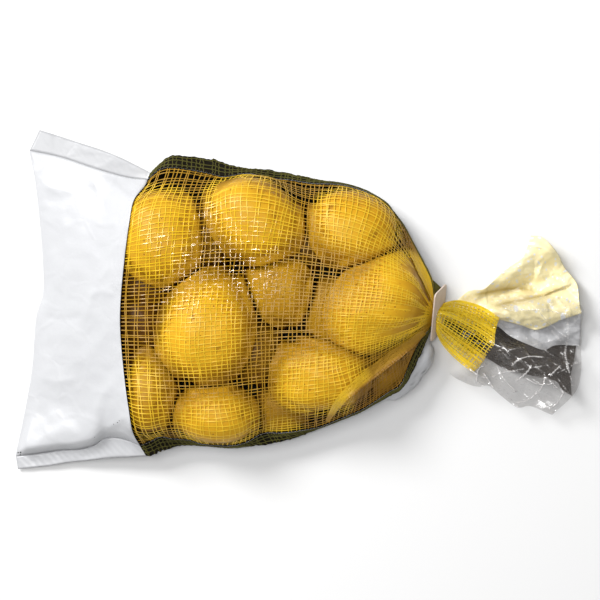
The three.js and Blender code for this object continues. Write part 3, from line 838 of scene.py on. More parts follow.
@once
def welded_material(name, share, weld):
    """White film where front and back are welded together: share is its brightness, lower as painted shade, and weld
    its fine lines' depth.
    """
    tint = [share * c for c in settings("films").white]
    material, nodes, principled, place = film_material(name, tint, (1, 1, 1), "welded film")
    lines = nodes.new("TexWave", {"Vector": place, "Scale": 95.0, "Distortion": 1.5}, bands_direction="DIAGONAL")
    creases = principled.inputs["Normal"].links[0].from_node.inputs["Height"].links[0].from_socket
    relief = nodes.math("ADD", creases, nodes.math("MULTIPLY", lines.outputs["Fac"], weld))
    bump(nodes, principled, relief, SURFACES["welded film"][3])
    return material


@once
def dark_material(name):
    """Black film, dull in the sleeve and glossy at the mouth, and the net's tapes that are welded into it."""
    sealed = name == "sealed net"
    tint, share = (settings("net").sealed, 0.6) if sealed else (settings("films").black, 1.6)
    return film_material(name, tint, (share, share, share))[0]


# The kinds of marks on the yellow film: seed, scale, share of their length that they are wide, and size.
MARKS = ((0.0, 95.0, 1.0, 0.20), (7.0, 60.0, 0.45, 0.13), (3.0, 150.0, 1.0, 0.16))


@once
def yellow_material():
    """Pale yellow film with a scatter of small white dots and dashes, and painted shade in its folds."""
    look = settings("films")
    material, nodes, principled, _ = film_material("yellow film", look.yellow, (0.95, 0.92, 0.82))
    flat = nodes.new("TexCoord").outputs["UV"]
    for seed, scale, stretch, size in MARKS:
        inputs = {"Vector": flat, "Location": (seed, seed, 0), "Scale": (1.0, stretch, 1.0), "Rotation": (0, 0, seed)}
        moved = nodes.new("Mapping", inputs).outputs[0]
        cells = nodes.new("TexVoronoi", {"Vector": moved, "Scale": scale}, voronoi_dimensions="2D")
        chance = nodes.new("SeparateColor", {0: cells.outputs["Color"]}).outputs[1]
        dot = nodes.math("LESS_THAN", cells.outputs["Distance"], nodes.math("MULTIPLY", chance, size))
        painted(nodes, principled, dot, look.marks)
    painted(nodes, principled, nodes.mark("fold"), look.folded)
    return material


@once
def clear_material():
    """Clear film: a thin grey veil that is denser along its creases, with painted highlights along them."""
    look = settings("films")
    material, nodes, principled, _ = film_material("clear film", look.clear, (1, 1, 1))
    nodes.set(principled.inputs["IOR"], 1.8)
    crest = nodes.mark("crest")
    painted(nodes, principled, crest, look.crests)
    cover = nodes.ramp(crest, 0.0, 1.0, look.cover, 0.75)
    nodes.set(principled.inputs["Alpha"], nodes.math("MULTIPLY", cover, nodes.mark("veil")))
    return material


@once
def tag_material():
    """Pale plastic, a little worn, with a fine grain."""
    material, nodes, principled, place = shader("pale tag", Specular_IOR_Level=0.5)
    tint = settings("films").tag
    worn = uneven_patches(nodes, place, 120.0, 0.6)
    nodes.set(principled.inputs["Base Color"], nodes.blend(worn, tint, [0.9 * c for c in tint]))
    grain = nodes.noise(place, 500.0)
    nodes.set(principled.inputs["Roughness"], nodes.ramp(grain, 0.3, 0.7, 0.38, 0.55))
    bump(nodes, principled, grain, 0.0001)
    return material


# ---------------------------------------------------------------- the pieces


# Painted shade darkens a potato's skin below its crest and near another potato.
SUNK_FROM, NEAR_BY = 4.0, 8.0  # how far under its crest, and how near to another one, a potato's skin darkens
SHOULDER, SHOULDER_FADE = 5.0, 9.0  # how far under its crest a potato begins to swell
PRESS_SHARE, PRESS_REACH, PRESS_FADE = 0.46, 13.0, 5.0  # how much of a gap it fills, and how wide a gap at most


def gap_to_others(number, places):
    """How far each place of a potato's skin lies from the nearest other potato."""
    others = [other for other in skins() if other is not skins()[number]]
    return np.min([np.maximum(other.gap(places), 0) for other in others], axis=0)


def painted_shade_depth(number, places):
    """How much painted shade each place of a potato's skin gets, from 0 to 1. It grows as the place lies deeper under
    its crest and beside other potatoes, and on a duller potato.
    """
    sunk = smooth((places[:, 2].max() - places[:, 2] - SUNK_FROM) / (1.1 * skins()[number].half[2]))
    near = np.exp(-((gap_to_others(number, places) / NEAR_BY) ** 2))
    return np.clip(SKINS[number][4] + 0.85 * sunk + 0.55 * near * smooth(2.5 * sunk), 0, 1)


def pressed(number, places):
    """A potato's skin, swollen below its shoulders towards the other potatoes until they nearly touch."""
    gap = gap_to_others(number, places)
    outward = unit(places - skins()[number].middle)
    below = smooth((places[:, 2].max() - places[:, 2] - SHOULDER) / SHOULDER_FADE)
    swollen = PRESS_SHARE * gap * smooth((PRESS_REACH - gap) / PRESS_FADE) * below
    return places + outward * swollen[:, None]


HEIGHTS_STEP = 2.0  # between the places where a sheet's height is measured
SEAM_Z = 24.0  # the height that counts outside the seams
FAR_OFF = 200.0  # above or below all that the bag holds
UNDER_NET, OVER_BACK = 1.0, 0.6  # room that a potato leaves to the two sheets
THINNEST = 0.5  # what a potato keeps between them


@once
def heights(side):
    """The height of the bag's front (side 1) or back (side -1) at a level grid's places, and its low corner."""
    sheet = front_sheet() if side > 0 else back_sheet()
    _, faces = quads(sheet.shape)
    tree = BVHTree.FromPolygons(sheet.reshape(-1, 3).tolist(), faces.tolist())
    low, high = sheet[..., :2].min((0, 1)), sheet[..., :2].max((0, 1))
    counts = np.ceil((high - low) / HEIGHTS_STEP).astype(int) + 1
    level = np.full((*counts, 1), SEAM_Z)
    for i in range(counts[0]):
        for j in range(counts[1]):
            start = (low[0] + i * HEIGHTS_STEP, low[1] + j * HEIGHTS_STEP, FAR_OFF * side)
            hit = tree.ray_cast(start, (0, 0, -side))[0]
            if hit is not None:
                level[i, j, 0] = hit.z
    return level, low


def height_over(side, places):
    level, low = heights(side)
    return sampled(level, (places[..., 0] - low[0]) / HEIGHTS_STEP, (places[..., 1] - low[1]) / HEIGHTS_STEP)[..., 0]


def between_sheets(places):
    """The places moved down under the net and up from the back film where they would come through."""
    top = height_over(1, places) - UNDER_NET
    bottom = np.minimum(height_over(-1, places) + OVER_BACK, top - THINNEST)
    places[:, 2] = np.clip(places[:, 2], bottom, top)
    return places


def ball_mesh(fineness):
    """The places of a ball with a radius of 1, and its triangles."""
    ball = bpy.data.meshes.new("ball")
    shape = bmesh.new()
    bmesh.ops.create_icosphere(shape, subdivisions=fineness, radius=1.0)
    shape.to_mesh(ball)
    shape.free()
    places, faces = np.array([v.co[:] for v in ball.vertices]), np.array([f.vertices[:] for f in ball.polygons])
    bpy.data.meshes.remove(ball)
    return places, faces


EYES = (6, 10)
EYE_RADIUS = (2.4, 4.2)
TALLEST_BUMP = 0.004  # as a share of the potato's radius


def add_potato(number, potato):
    """A potato's skin, with shallow eyes that it also marks for the material."""
    rng = np.random.default_rng(100 + number)
    lower = number >= len(POTATOES)  # these are plainer
    directions, faces = ball_mesh(settings("potatoes").detail - lower)
    size = potato.half.mean()
    fine = np.zeros(len(directions))
    for axis, cell in ((0, 0.55), (1, 0.28)):
        relief = Relief(200 + 10 * number + axis, cell)
        fine += cell * 0.035 * relief(directions[:, axis] + directions[:, 2], directions[:, axis - 1])
    eye = np.zeros(len(directions))
    for _ in range(rng.integers(*EYES)):
        centre = unit(rng.normal(size=3))
        side = unit(np.cross(centre, (0, 0.3, 1)))
        up = np.cross(side, centre)
        across, rise = directions @ side * size, directions @ up * size
        front = directions @ centre > 0
        radius = rng.uniform(*EYE_RADIUS)
        pit = np.exp(-((across / (1.5 * radius)) ** 2) - (rise / radius) ** 2) * front
        brow = np.exp(-((across / (1.6 * radius)) ** 2) - ((rise - 1.1 * radius) / (0.4 * radius)) ** 2) * front
        fine += (0.35 * brow - 1.0 * pit) / size
        eye = np.maximum(eye, np.exp(-((across / radius) ** 2) - (rise / (0.45 * radius)) ** 2) * front)
    reach = potato.swell(directions) * (1 + np.minimum(fine, TALLEST_BUMP))
    local = directions * reach[:, None]
    local[:, 0] *= 1 - SKINS[number][3] * local[:, 1]
    places = between_sheets(pressed(number, potato.middle + (local * potato.half) @ potato.axes))
    places[:, 2] = np.maximum(places[:, 2], SKIN / 2)
    piece = add_mesh(f"potato_{number + 1}", places, faces, [skin_material()], "potato_skin", ["net_body"])
    mark_places(piece, "eye", eye)
    # The share of painted shade on each place of the skin.
    mark_places(piece, "deep", painted_shade_depth(number, places))


class POTATO_NET_OT_potatoes(bpy.types.Operator):
    """Add the potatoes, each with its own lumps and eyes"""

    bl_idname = "potato_net.potatoes"
    bl_label = "Potatoes"

    def execute(self, context):
        for number, potato in enumerate(skins()):
            add_potato(number, potato)
        return {"FINISHED"}


# Creases of the foot's film, from above: path, height and width.
FOOT_CREASES = [
    ([(-205, 111), (-180, 105), (-157, 96), (-133, 88)], 1.2, 4.0),
    ([(-157, 100), (-146, 90), (-133, 78), (-128, 66)], 1.4, 3.5),
    ([(-160, 98), (-156, 82), (-148, 64)], -1.0, 4.0),
    ([(-203, 90), (-185, 84), (-170, 84)], 0.8, 4.0),
    ([(-138, 60), (-150, 57), (-161, 60)], 1.0, 3.0),
    ([(-139, 30), (-150, 20), (-160, 2), (-166, -20)], 0.9, 5.0),
    ([(-140, 2), (-153, 6), (-164, 2)], 0.9, 3.0),
    ([(-200, -12), (-184, -16), (-165, -12)], -1.0, 5.0),
    ([(-205, -60), (-188, -64), (-170, -60)], 0.8, 5.0),
    ([(-140, -60), (-152, -74), (-160, -92)], 0.9, 5.0),
    ([(-132, -88), (-142, -96), (-152, -100)], 1.4, 3.0),
]


CREASE_SHARE = 1.6  # how much taller they are made
ROLL_FAR, ROLL_NEAR, ROLL_LOW_FROM, ROLL_EASE = 8.5, 3.0, -160.0, 12.0  # heights, and where it gets lower along X
ROLL_RISE, ROLL_FALL = 6.0, 20.0  # from the lower seam to the roll's crest, and on down
UPPER_SHARE, UPPER_REACH = 0.45, 20.0  # how flat the film lies beside the upper seam, and how far
HEM_ROWS, HEM_HEIGHT = 6, 0.9  # the film's edge stands up along the net
FOOT_LOWEST = 1.5


def creased_foot():
    """The foot's front film from the net's edge to the fold, with its creases and the roll over the lower seam."""
    sheet = front_sheet()[: EDGE_ROW + 1][::-1].copy()
    x, y = sheet[..., 0], sheet[..., 1]
    from_net = np.arange(len(sheet))[:, None]
    from_fold = from_net[::-1]
    from_upper, from_lower = (np.linalg.norm(sheet[..., :2] - sheet[:, k, None, :2], axis=-1) for k in (0, -1))
    inside = smooth(np.sin(np.pi * np.linspace(0, 1, sheet.shape[1])) * 4) * smooth(from_fold / 6)
    lift = CREASE_SHARE * sum(crease(sheet, *spec) for spec in FOOT_CREASES)
    lift += 1.0 * Relief(31, 30)(x, y) + 0.5 * Relief(32, 11)(x, y)
    tall = mix(ROLL_FAR, ROLL_NEAR, smooth((x - ROLL_LOW_FROM) / ROLL_EASE)) * smooth(from_fold / 3)
    beyond = np.maximum(from_lower - ROLL_RISE, 0)
    roll = tall * smooth(from_lower / ROLL_RISE) * np.exp(-((beyond / ROLL_FALL) ** 2))
    eased = mix(1.0, mix(UPPER_SHARE, 1.0, smooth(from_upper / UPPER_REACH)), smooth(from_net / 16))
    sheet[..., 2] = mix(sheet[:, :1, 2], sheet[..., 2], eased)
    sheet[..., 2] = np.maximum(sheet[..., 2] + inside * lift, FOOT_LOWEST) + roll
    sheet[..., 2] += HEM_HEIGHT * smooth(1 - from_net / HEM_ROWS)
    return sheet


# Dark lines of painted shade along the tight folds of the back film that bulges out beside the neck, from above: path,
# darkness and width.
BULGE_FOLD_SHADES = [
    ([(99, -31), (94.5, -40.8), (92, -53.1), (87, -65.5), (83, -76)], 0.8, 0.5),
    ([(102, -40.8), (98.5, -50), (94, -61), (89, -71.6)], 1.0, 0.45),
    ([(104, -36), (102, -46), (98.5, -56)], 0.6, 0.4),
    ([(76, -77), (84, -73), (91, -65)], 0.5, 0.5),
    ([(95, -68), (99, -60), (101, -52)], 0.9, 0.4),
]


PLEATS_REACH = 62.0  # from the neck
PLEATS = ((1.6, 15, 0), (0.7, 37, 1), (0.5, 61, 2))  # height, count from seam to seam, and phase


def pleated(sheet, side):
    """The sheet with the ripples of its gathered end, deepest a little behind the neck."""
    sheet = sheet.copy()
    across = np.linspace(0, np.pi, sheet.shape[1])
    away = np.linalg.norm(sheet[..., :2] - NECK[:2], axis=-1)
    near = smooth(1 - away / PLEATS_REACH) * smooth(away / NECK[2])
    ripple = sum(height * np.sin(count * across + phase) for height, count, phase in PLEATS)
    sheet[..., 2] += side * near * ripple * np.sin(across)
    sheet[EDGE_ROW:, :, 2] = np.maximum(sheet[EDGE_ROW:, :, 2], 0.0)
    return sheet


class POTATO_NET_OT_sleeve(bpy.types.Operator):
    """Add the film sleeve: the foot's front, its folded edge and the whole back"""

    bl_idname = "potato_net.sleeve"
    bl_label = "Film sleeve"

    FOLD_STEPS = 5

    def folded_edge(self, columns):
        """The rows of the foot's round fold, from its front to its back."""
        puff = FOLD_HALF * np.sqrt(np.sin(np.pi * np.linspace(0, 1, columns)))
        rows = []
        for angle in np.radians(np.linspace(90, -90, self.FOLD_STEPS + 2)[1:-1]):
            row = along(FOLD_LINE, columns - 1)
            row[:, 0] -= puff * math.cos(angle)
            row[:, 2] = FOLD_Z + puff * math.sin(angle)
            rows.append(row)
        return np.array(rows)

    def execute(self, context):
        front, back = creased_foot(), pleated(back_sheet(), -1)
        x, y = back[..., 0], back[..., 1]
        off_floor = smooth(back[..., 2] / 6)
        back[1:-1, 1:-1, 2] += (off_floor * (0.8 * Relief(33, 26)(x, y) + 0.4 * Relief(34, 9)(x, y)))[1:-1, 1:-1]
        grid = np.concatenate([front, self.folded_edge(front.shape[1]), back])[:, ::-1]
        film = settings("films").thickness / MM
        grid[..., 2] = np.maximum(grid[..., 2], film / 2)
        places, faces, kinds = shell(grid, film)
        materials = [white_material(), dark_material("black film")]
        piece = add_mesh("film_sleeve", places, faces, materials, "white_film", ["film_foot", "net_body"], kinds)
        dark = sum(crease(places, *spec) for spec in BULGE_FOLD_SHADES)
        # Painted shade along the bulge's folds.
        mark_places(piece, "fold", np.clip(dark, 0, 1))
        return {"FINISHED"}


SEAL_COLUMNS = 8
FRAY_RUN = 5  # rows over which the frayed edge is evened out
WELD_PITCH, WELD_SLANT = 2.6, 9.0  # between the weld's lines, and how far each runs on across the seal


def seal_strip(seam, edge, seed, weld):
    """A side seal as a grid from its seam to its outer edge, which is cut clean at the foot and frayed at the net.

    weld is the height of the weld's lines across it.
    """
    inner, outer = seam_places(seam, FINE), seam_places(edge, FINE)
    rng = np.random.default_rng(seed)
    rows = len(inner)
    frayed = smooth((np.arange(rows) - EDGE_ROW) / 3)
    slow = np.convolve(rng.normal(size=rows + FRAY_RUN - 1), np.ones(FRAY_RUN) / FRAY_RUN, "valid")
    worn = slow * 0.05 + rng.normal(size=rows) * 0.04
    t = np.linspace(0, 1, SEAL_COLUMNS + 1)
    reach = 1 + (frayed * worn)[:, None] * smooth(t / 0.6)
    grid = inner[:, None] + (outer - inner)[:, None] * (t * reach)[..., None]
    s = np.cumsum(np.linalg.norm(np.diff(inner, axis=0, prepend=inner[:1]), axis=1))[:, None] + 0 * t
    wave = 0.5 * Relief(seed, 22)(s, 30 * t) + 0.3 * Relief(seed + 1, 7)(s, 12 * t)
    hatch = weld * (1 - frayed)[:, None] * np.sin(2 * np.pi * (s + WELD_SLANT * t) / WELD_PITCH)
    wide_enough = smooth(np.linalg.norm(outer - inner, axis=1) / 4)[:, None]
    grid[..., 2] += (wave * t + hatch * np.sin(np.pi * t)) * wide_enough
    return grid


@once
def upper_seal():
    return seal_strip(UPPER_SEAM, UPPER_EDGE, 51, 0.02)


@once
def lower_seal():
    return seal_strip(LOWER_SEAM, LOWER_EDGE, 52, 0.07)


# The corner of dark film that sticks out behind the neck, from its root to its tip.
CORNER = [[(99.5, 17.5, 20), (99, 3, 21)], [(104, 13.5, 22), (102, 3.5, 22)], [(109.3, 8.7, 23), (104.6, 3.6, 23)]]


class POTATO_NET_OT_seals(bpy.types.Operator):
    """Add the two side seals: white along the foot, and black on top along the net"""

    bl_idname = "potato_net.seals"
    bl_label = "Side seals"

    THICKNESS = 0.6

    def execute(self, context):
        # The upper seal is painted darker than the lower: painted shade, as it turns from the light.
        for name, grid, share, weld in (
            ("seal_upper", upper_seal()[:, ::-1], 0.80, 0.05),
            ("seal_lower", lower_seal(), 0.95, 0.2),
        ):
            places, faces, kinds = shell(grid, self.THICKNESS)
            row = faces[:, 0] % (grid.shape[0] * grid.shape[1]) // grid.shape[1]
            dark = (kinds == 0) & (row >= EDGE_ROW)
            materials = [welded_material("white film of " + name, share, weld), dark_material("black film")]
            add_mesh(name, places, faces, materials, "white_film", ["film_foot", "net_body"], dark.astype(int))
        places, faces, _ = shell(np.array(CORNER, float)[:, ::-1], self.THICKNESS)
        add_mesh("seal_corner", places, faces, [dark_material("sealed net")], "black_film", ["net_body"])
        return {"FINISHED"}


# The slack of the net that is folded over beside the neck, seen from above.
SLACK_FOLD = [(22, -95), (33, -80), (46, -69), (59, -59), (72, -49), (86, -38), (97, -27)]
SLACK_WIDTH = 9.0
SLACK_LIFT, SLACK_SPREAD = 4.5, 3.5  # the fold's height and width


@once
def net_surface():
    """The net's surface from the window's edge to the neck, with its share of the two seals, and its normals."""
    front = pleated(front_sheet(), 1)
    front[..., 2] += crease(front, SLACK_FOLD, SLACK_LIFT, SLACK_SPREAD)
    grid = np.concatenate([upper_seal()[:, :0:-1], front, lower_seal()[:, 1:]], axis=1)[EDGE_ROW:]
    return grid, grid_normals(grid)


def slow_noise(rng, count, steps, waves):
    """A smooth random course for each of many strands, about -1 to 1, with a few waves along it."""
    t = np.linspace(0, 1, steps)
    total = np.zeros((count, steps))
    for k in range(3):
        phase, pace = rng.uniform(0, 2 * math.pi, (count, 1)), rng.uniform(0.5, 1.5, (count, 1)) * waves * (k + 1)
        total += np.sin(2 * math.pi * pace * t + phase) / (k + 1) / 1.8
    return total


TWIST, TWIST_WAVES = 0.35, 14  # how far a tape turns over, in radians, and how often


def tapes(grid, normals, rows, columns, lift, seed, narrow=0.85):
    """Net tapes over a surface, each along its own course of rows and columns, which ends at the surface's edges.

    lift is how high they lie over it, and narrow the least share of its width that a crowded tape keeps.
    """
    look = settings("net")
    rng = np.random.default_rng(seed)
    rows, columns = np.broadcast_arrays(rows, columns)
    up = unit(sampled(normals, rows, columns))
    paths = sampled(grid, rows, columns) + up * lift
    gap = np.linalg.norm(np.diff(paths, axis=0), axis=-1)
    gap = np.concatenate([gap[:1], gap])
    width = np.clip(0.8 * gap / (look.width / MM), narrow, 1.0) * look.width / MM
    twist = TWIST * slow_noise(rng, *rows.shape, TWIST_WAVES)
    return strands(paths, up, width, look.thickness / MM, twist)


CROWN, CROWN_HALF = (-70, 30), (60, 40)  # the middle and half sizes of where the net stands highest and shines
# The net's painted shade beside the slack fold.
TUCKED_SHADE = (5.0, 1.5)  # how wide and how dark the net is beside the slack fold
TUCKED_SHADE_FROM, TUCKED_SHADE_FADE = 34, 14  # from here on along X


def add_net(name, mesh, extra_shade=0.0):
    """Makes a piece of yellow tapes, with painted shade between the potatoes and beside the slack fold, duller off the
    crown.
    """
    places, faces = mesh
    piece = add_mesh(name, places, faces, [net_material()], "yellow_net", ["net_body"], rounded=False)
    flat = places.reshape(-1, 3)
    # Painted shade on the tapes between the potatoes and beside the slack fold.
    gap = np.min([potato.gap(flat) for potato in skins()[: len(POTATOES)]], axis=0)
    tucked_shade = crease(flat, SLACK_FOLD[::-1], 0.0, *TUCKED_SHADE) * smooth((flat[:, 0] - TUCKED_SHADE_FROM) / TUCKED_SHADE_FADE)
    mark_places(piece, "shade", np.clip(0.85 * smooth((gap - 1) / 6) + tucked_shade + extra_shade, 0, 1))
    away = np.linalg.norm((flat[:, :2] - CROWN) / CROWN_HALF, axis=1)
    mark_places(piece, "worn", smooth((away - 0.5) / 1.1))


def joined(*meshes):
    """Several meshes, each of places and faces, as one."""
    places, faces, count = [], [], 0
    for more_places, more_faces in meshes:
        more_places = more_places.reshape(-1, 3)
        places.append(more_places)
        faces.append(more_faces + count)
        count += len(more_places)
    return np.concatenate(places), np.concatenate(faces)


class POTATO_NET_OT_net(bpy.types.Operator):
    """Add the net over the potatoes, one piece for the tapes of each direction"""

    bl_idname = "potato_net.net"
    bl_label = "Net"

    STEPS_ALONG, STEPS_ACROSS, STEPS_SEALED = 190, 160, 12
    UNEVEN = 0.22  # how far a tape strays, as a share of the mesh
    OVER, UNDER = -0.58, -0.68  # where the tapes of each direction lie, over the sheet's own surface
    SEALED_OVER, SEALED_UNDER = 0.45, 0.35  # the same in the seals
    SEALED_COLUMNS = (1.2, 3.4, 5.8)  # of the lengthwise tapes there
    GATHERED_FROM = 70.0  # along X, where the net begins to bunch up
    GATHERED_OVER, GATHERED_UNDER = 0.35, 0.25
    GATHERED_ALONG, GATHERED_ALONG_STEPS = 36, 50
    GATHERED_ACROSS, GATHERED_ACROSS_STEPS = 48, 40
    SLACK_ROWS, SLACK_COLUMNS = 120, 12  # of the slack's own grid
    SLACK_ENDS = (0.04, 0.90)  # where its width begins and ends, as a share of an arch
    SLACK_ALONG, SLACK_ALONG_STEPS = 10, 90
    SLACK_ACROSS, SLACK_ACROSS_STEPS = 62, 20

    def execute(self, context):
        grid, normals = net_surface()
        look = settings("net")
        flange = upper_seal().shape[1] - 1
        inner, inner_normals = grid[:, flange:-flange], normals[:, flange:-flange]
        self.add_lengthwise(inner, inner_normals, look.lengthwise)
        self.add_crosswise(inner, inner_normals, look.crosswise)
        for name, span in (("upper", slice(0, flange + 1)), ("lower", slice(-flange - 1, None))):
            self.add_sealed("net_seal_" + name, grid[:, span], normals[:, span], look.crosswise)
        self.add_gathered(grid, normals, flange)
        self.add_slack()
        return {"FINISHED"}

    def add_gathered(self, grid, normals, flange):
        """The bunched net over the upper edge beside the neck."""
        rng = np.random.default_rng(68)
        first, last = int(np.argmax(grid[:, flange, 0] > self.GATHERED_FROM)), grid.shape[0] - 1
        count, steps = self.GATHERED_ALONG, self.GATHERED_ALONG_STEPS
        columns = from_to(0.2, flange + 20, count) + 0.4 * slow_noise(rng, count, steps, 2)
        starts = first + from_to(0, 18, count) + rng.uniform(0, 12, (count, 1))
        rows = mix(starts, last, np.linspace(0, 1, steps))
        along_it = tapes(grid, normals, rows, columns, self.GATHERED_OVER, 69)
        count, steps = self.GATHERED_ACROSS, self.GATHERED_ACROSS_STEPS
        rows = from_to(first, last, count) + 0.5 * slow_noise(rng, count, steps, 2)
        ends = flange + from_to(3, 20, count) + rng.uniform(-3, 3, (count, 1))
        across = tapes(grid, normals, rows, ends * np.linspace(0, 1, steps), self.GATHERED_UNDER, 70)
        add_net("net_gathered", joined(along_it, across), 0.12)

    def slack_surface(self):
        """The slack's surface, from its free edge to the bright crest of its fold."""
        line = along(SLACK_FOLD, self.SLACK_ROWS)[:, :2]
        course = course_of(line)
        left = np.stack([-course[:, 1], course[:, 0]], axis=1)
        t = np.linspace(0, 1, self.SLACK_COLUMNS + 1)
        wide = SLACK_WIDTH * np.sin(np.pi * from_to(*self.SLACK_ENDS, self.SLACK_ROWS + 1)) ** 0.6
        flat = line[:, None] + left[:, None] * (wide * t)[..., None]
        fold = crease(flat, SLACK_FOLD, SLACK_LIFT, SLACK_SPREAD)
        rise = height_over(1, flat) + fold + 0.9 * (1 - t) ** 2 + 0.2
        return np.concatenate([flat, rise[..., None]], axis=-1)[:, ::-1]

    def add_slack(self):
        """The second layer of net along the slack fold."""
        rng = np.random.default_rng(72)
        grid = self.slack_surface()
        normals = grid_normals(grid)
        last_row, last_column = self.SLACK_ROWS, self.SLACK_COLUMNS
        count, steps = self.SLACK_ALONG, self.SLACK_ALONG_STEPS
        columns = from_to(0.3, last_column - 0.2, count) + 0.4 * slow_noise(rng, count, steps, 3)
        along_it = tapes(grid, normals, np.linspace(0, last_row, steps), columns, 0.1, 73)
        count, steps = self.SLACK_ACROSS, self.SLACK_ACROSS_STEPS
        rows = from_to(1, last_row - 1, count) + 0.6 * slow_noise(rng, count, steps, 1)
        across = tapes(grid, normals, rows, np.linspace(0, last_column, steps), 0.0, 74)
        add_net("net_slack", joined(along_it, across))

    def strays(self, rng, count, steps, share=1.0):
        """The tapes' own places in steps of one mesh, each a little astray along its course."""
        astray = self.UNEVEN * (slow_noise(rng, count, steps, 3) + rng.normal(size=(count, 1)))
        return (np.arange(count) + 0.5)[:, None] + share * astray

    def add_lengthwise(self, grid, normals, count):
        last_row, last_column = grid.shape[0] - 1, grid.shape[1] - 1
        columns = last_column / count * self.strays(np.random.default_rng(61), count, self.STEPS_ALONG, 0.7)
        rows = np.linspace(0, last_row, self.STEPS_ALONG)
        add_net("net_lengthwise", tapes(grid, normals, rows, columns, self.OVER, 62))

    def add_crosswise(self, grid, normals, count):
        last_row, last_column = grid.shape[0] - 1, grid.shape[1] - 1
        rows = last_row / count * self.strays(np.random.default_rng(63), count, self.STEPS_ACROSS)
        columns = np.linspace(0, last_column, self.STEPS_ACROSS)
        add_net("net_crosswise", tapes(grid, normals, rows, columns, self.UNDER, 64))

    def add_sealed(self, name, grid, normals, count):
        """The tapes' ends, welded into a seal."""
        rng = np.random.default_rng(65)
        last_row, last_column = grid.shape[0] - 1, grid.shape[1] - 1
        rows = last_row / count * self.strays(rng, count, self.STEPS_SEALED)
        columns = np.linspace(0, last_column, self.STEPS_SEALED)
        across = tapes(grid, normals, rows, columns, self.SEALED_UNDER, 66)
        columns = np.array(self.SEALED_COLUMNS)[:, None]
        columns = columns + 0.5 * slow_noise(rng, len(columns), self.STEPS_ALONG, 3)
        rows = np.linspace(0, last_row, self.STEPS_ALONG)
        along_it = tapes(grid, normals, rows, columns, self.SEALED_OVER, 67)
        add_mesh(name, *joined(across, along_it), [dark_material("sealed net")], "black_film", ["net_body"])


# ---------------------------------------------------------------- the spread mouth


def neck_distance(x, y):
    return np.hypot(x - NECK[0], y - NECK[1])


def fan_half(r):
    """Half the fan's thickness: a round bunch at the neck that thins to a single net."""
    return mix(NECK_RADIUS, FAN_EDGE, smooth((r - FAN_FROM) / FAN_LENGTH))


CRUMPLE_FROM, CRUMPLE_FULL, CRUMPLE_WIDTH, CRUMPLE_HEIGHT = 24, 50, 19.0, 4.5
FACET_WIDTH, FACET_HEIGHT = 12.0, 2.2  # of a single film's own crumples
LOWEST_FILM = 0.4


def pile_height(x, y):
    """The height of the pile's lowest layer: it falls away from the neck and breaks into ridges and crumples."""
    r = neck_distance(x, y)
    angle = np.arctan2(y - NECK[1], x - NECK[0])
    fall = SPREAD_RISE * np.exp(-(r - SPREAD_FROM) / SPREAD_FALL)
    ridge = 1 + np.sin(RIDGES_PER_RADIAN * angle + RIDGE_PHASE)
    grown = smooth((r - RIDGE_FROM) / RIDGE_FULL)
    crumple = smooth((r - CRUMPLE_FROM) / CRUMPLE_FULL) * facets(x, y, 71, CRUMPLE_WIDTH, CRUMPLE_HEIGHT, 5)
    return np.maximum(SPREAD_FLOOR + fall + RIDGE_HEIGHT * grown * ridge + crumple, SPREAD_FLOOR)


# Creases seen from above: path, height, width and step.
YELLOW_CREASES = [
    ([(186, 1), (200, 7), (213, 12)], 0.0, 2.0, 4.0),
    ([(150, 1), (169, 9), (181, 16), (181, 38)], -3.0, 4.0, 0.0),
    ([(146, -6), (165, -4), (190, 1)], -3.5, 4.0, 0.0),
    ([(182, 10), (188, 26), (196, 33), (205, 27)], 3.5, 4.0, 0.0),
    ([(176, 40), (187, 40), (199, 33)], 2.0, 3.0, 0.0),
]
# Painted shade where the yellow film turns from the light, together with the deeper colour where it is doubled: path
# and width.
YELLOW_FOLD_SHADES = [
    ([(143, -8), (160, -3.5), (176, 0), (189, 3), (200, 7.5), (212, 12)], 1.8),
    ([(128, 1.5), (145, 5), (162, 8), (176, 7.5), (186, 5)], 2.8),
]
CLEAR_CREASES = [
    ([(128, -52), (140, -60), (152, -62)], 1.6, 1.3, 0.0),
    ([(152, -50), (158, -62), (170, -74)], 1.8, 1.4, 0.0),
    ([(172, -60), (186, -66), (200, -64)], 1.8, 1.4, 0.0),
    ([(176, -80), (186, -70), (190, -58)], 1.6, 1.3, 0.0),
    ([(150, -6), (170, -9), (190, -8), (208, -14)], 1.2, 1.3, 0.0),
    ([(136, -66), (138.5, -54), (146, -51)], 2.0, 1.5, 0.0),
    ([(141, -56), (146, -63), (151, -72)], 1.8, 1.5, 0.0),
    ([(146, -61.5), (158, -57), (171, -55.5)], 1.8, 1.5, 0.0),
    ([(166, -65), (175, -57), (180, -49)], 1.8, 1.5, 0.0),
    ([(162, -54), (168, -47.5), (177, -44.5), (192, -45.5)], 2.0, 1.6, 0.0),
    ([(192, -60), (202, -51)], 2.0, 2.0, 0.0),
    ([(164, -81), (177, -78.5), (186, -70)], 1.6, 1.5, 0.0),
    ([(192, -86), (199, -81), (204, -70)], 1.6, 1.5, 0.0),
    ([(204, -2), (208, -25), (206, -45), (211, -66)], 2.2, 1.8, 0.0),
    ([(150, -3), (170, -8), (196, -10), (216, -16)], 1.6, 2.0, 0.0),
]


def patch(near, far, upper, lower, rows, columns):
    """A grid of places inside four boundary curves, from near to far in rows and upper to lower in columns."""
    n, f = along(near, columns)[None], along(far, columns)[None]
    u, d = along(upper, rows)[:, None], along(lower, rows)[:, None]
    s, t = np.linspace(0, 1, rows + 1)[:, None, None], np.linspace(0, 1, columns + 1)[None, :, None]
    corners = mix(mix(n[:, :1], n[:, -1:], t), mix(f[:, :1], f[:, -1:], t), s)
    return mix(n, f, s) + mix(u, d, t) - corners


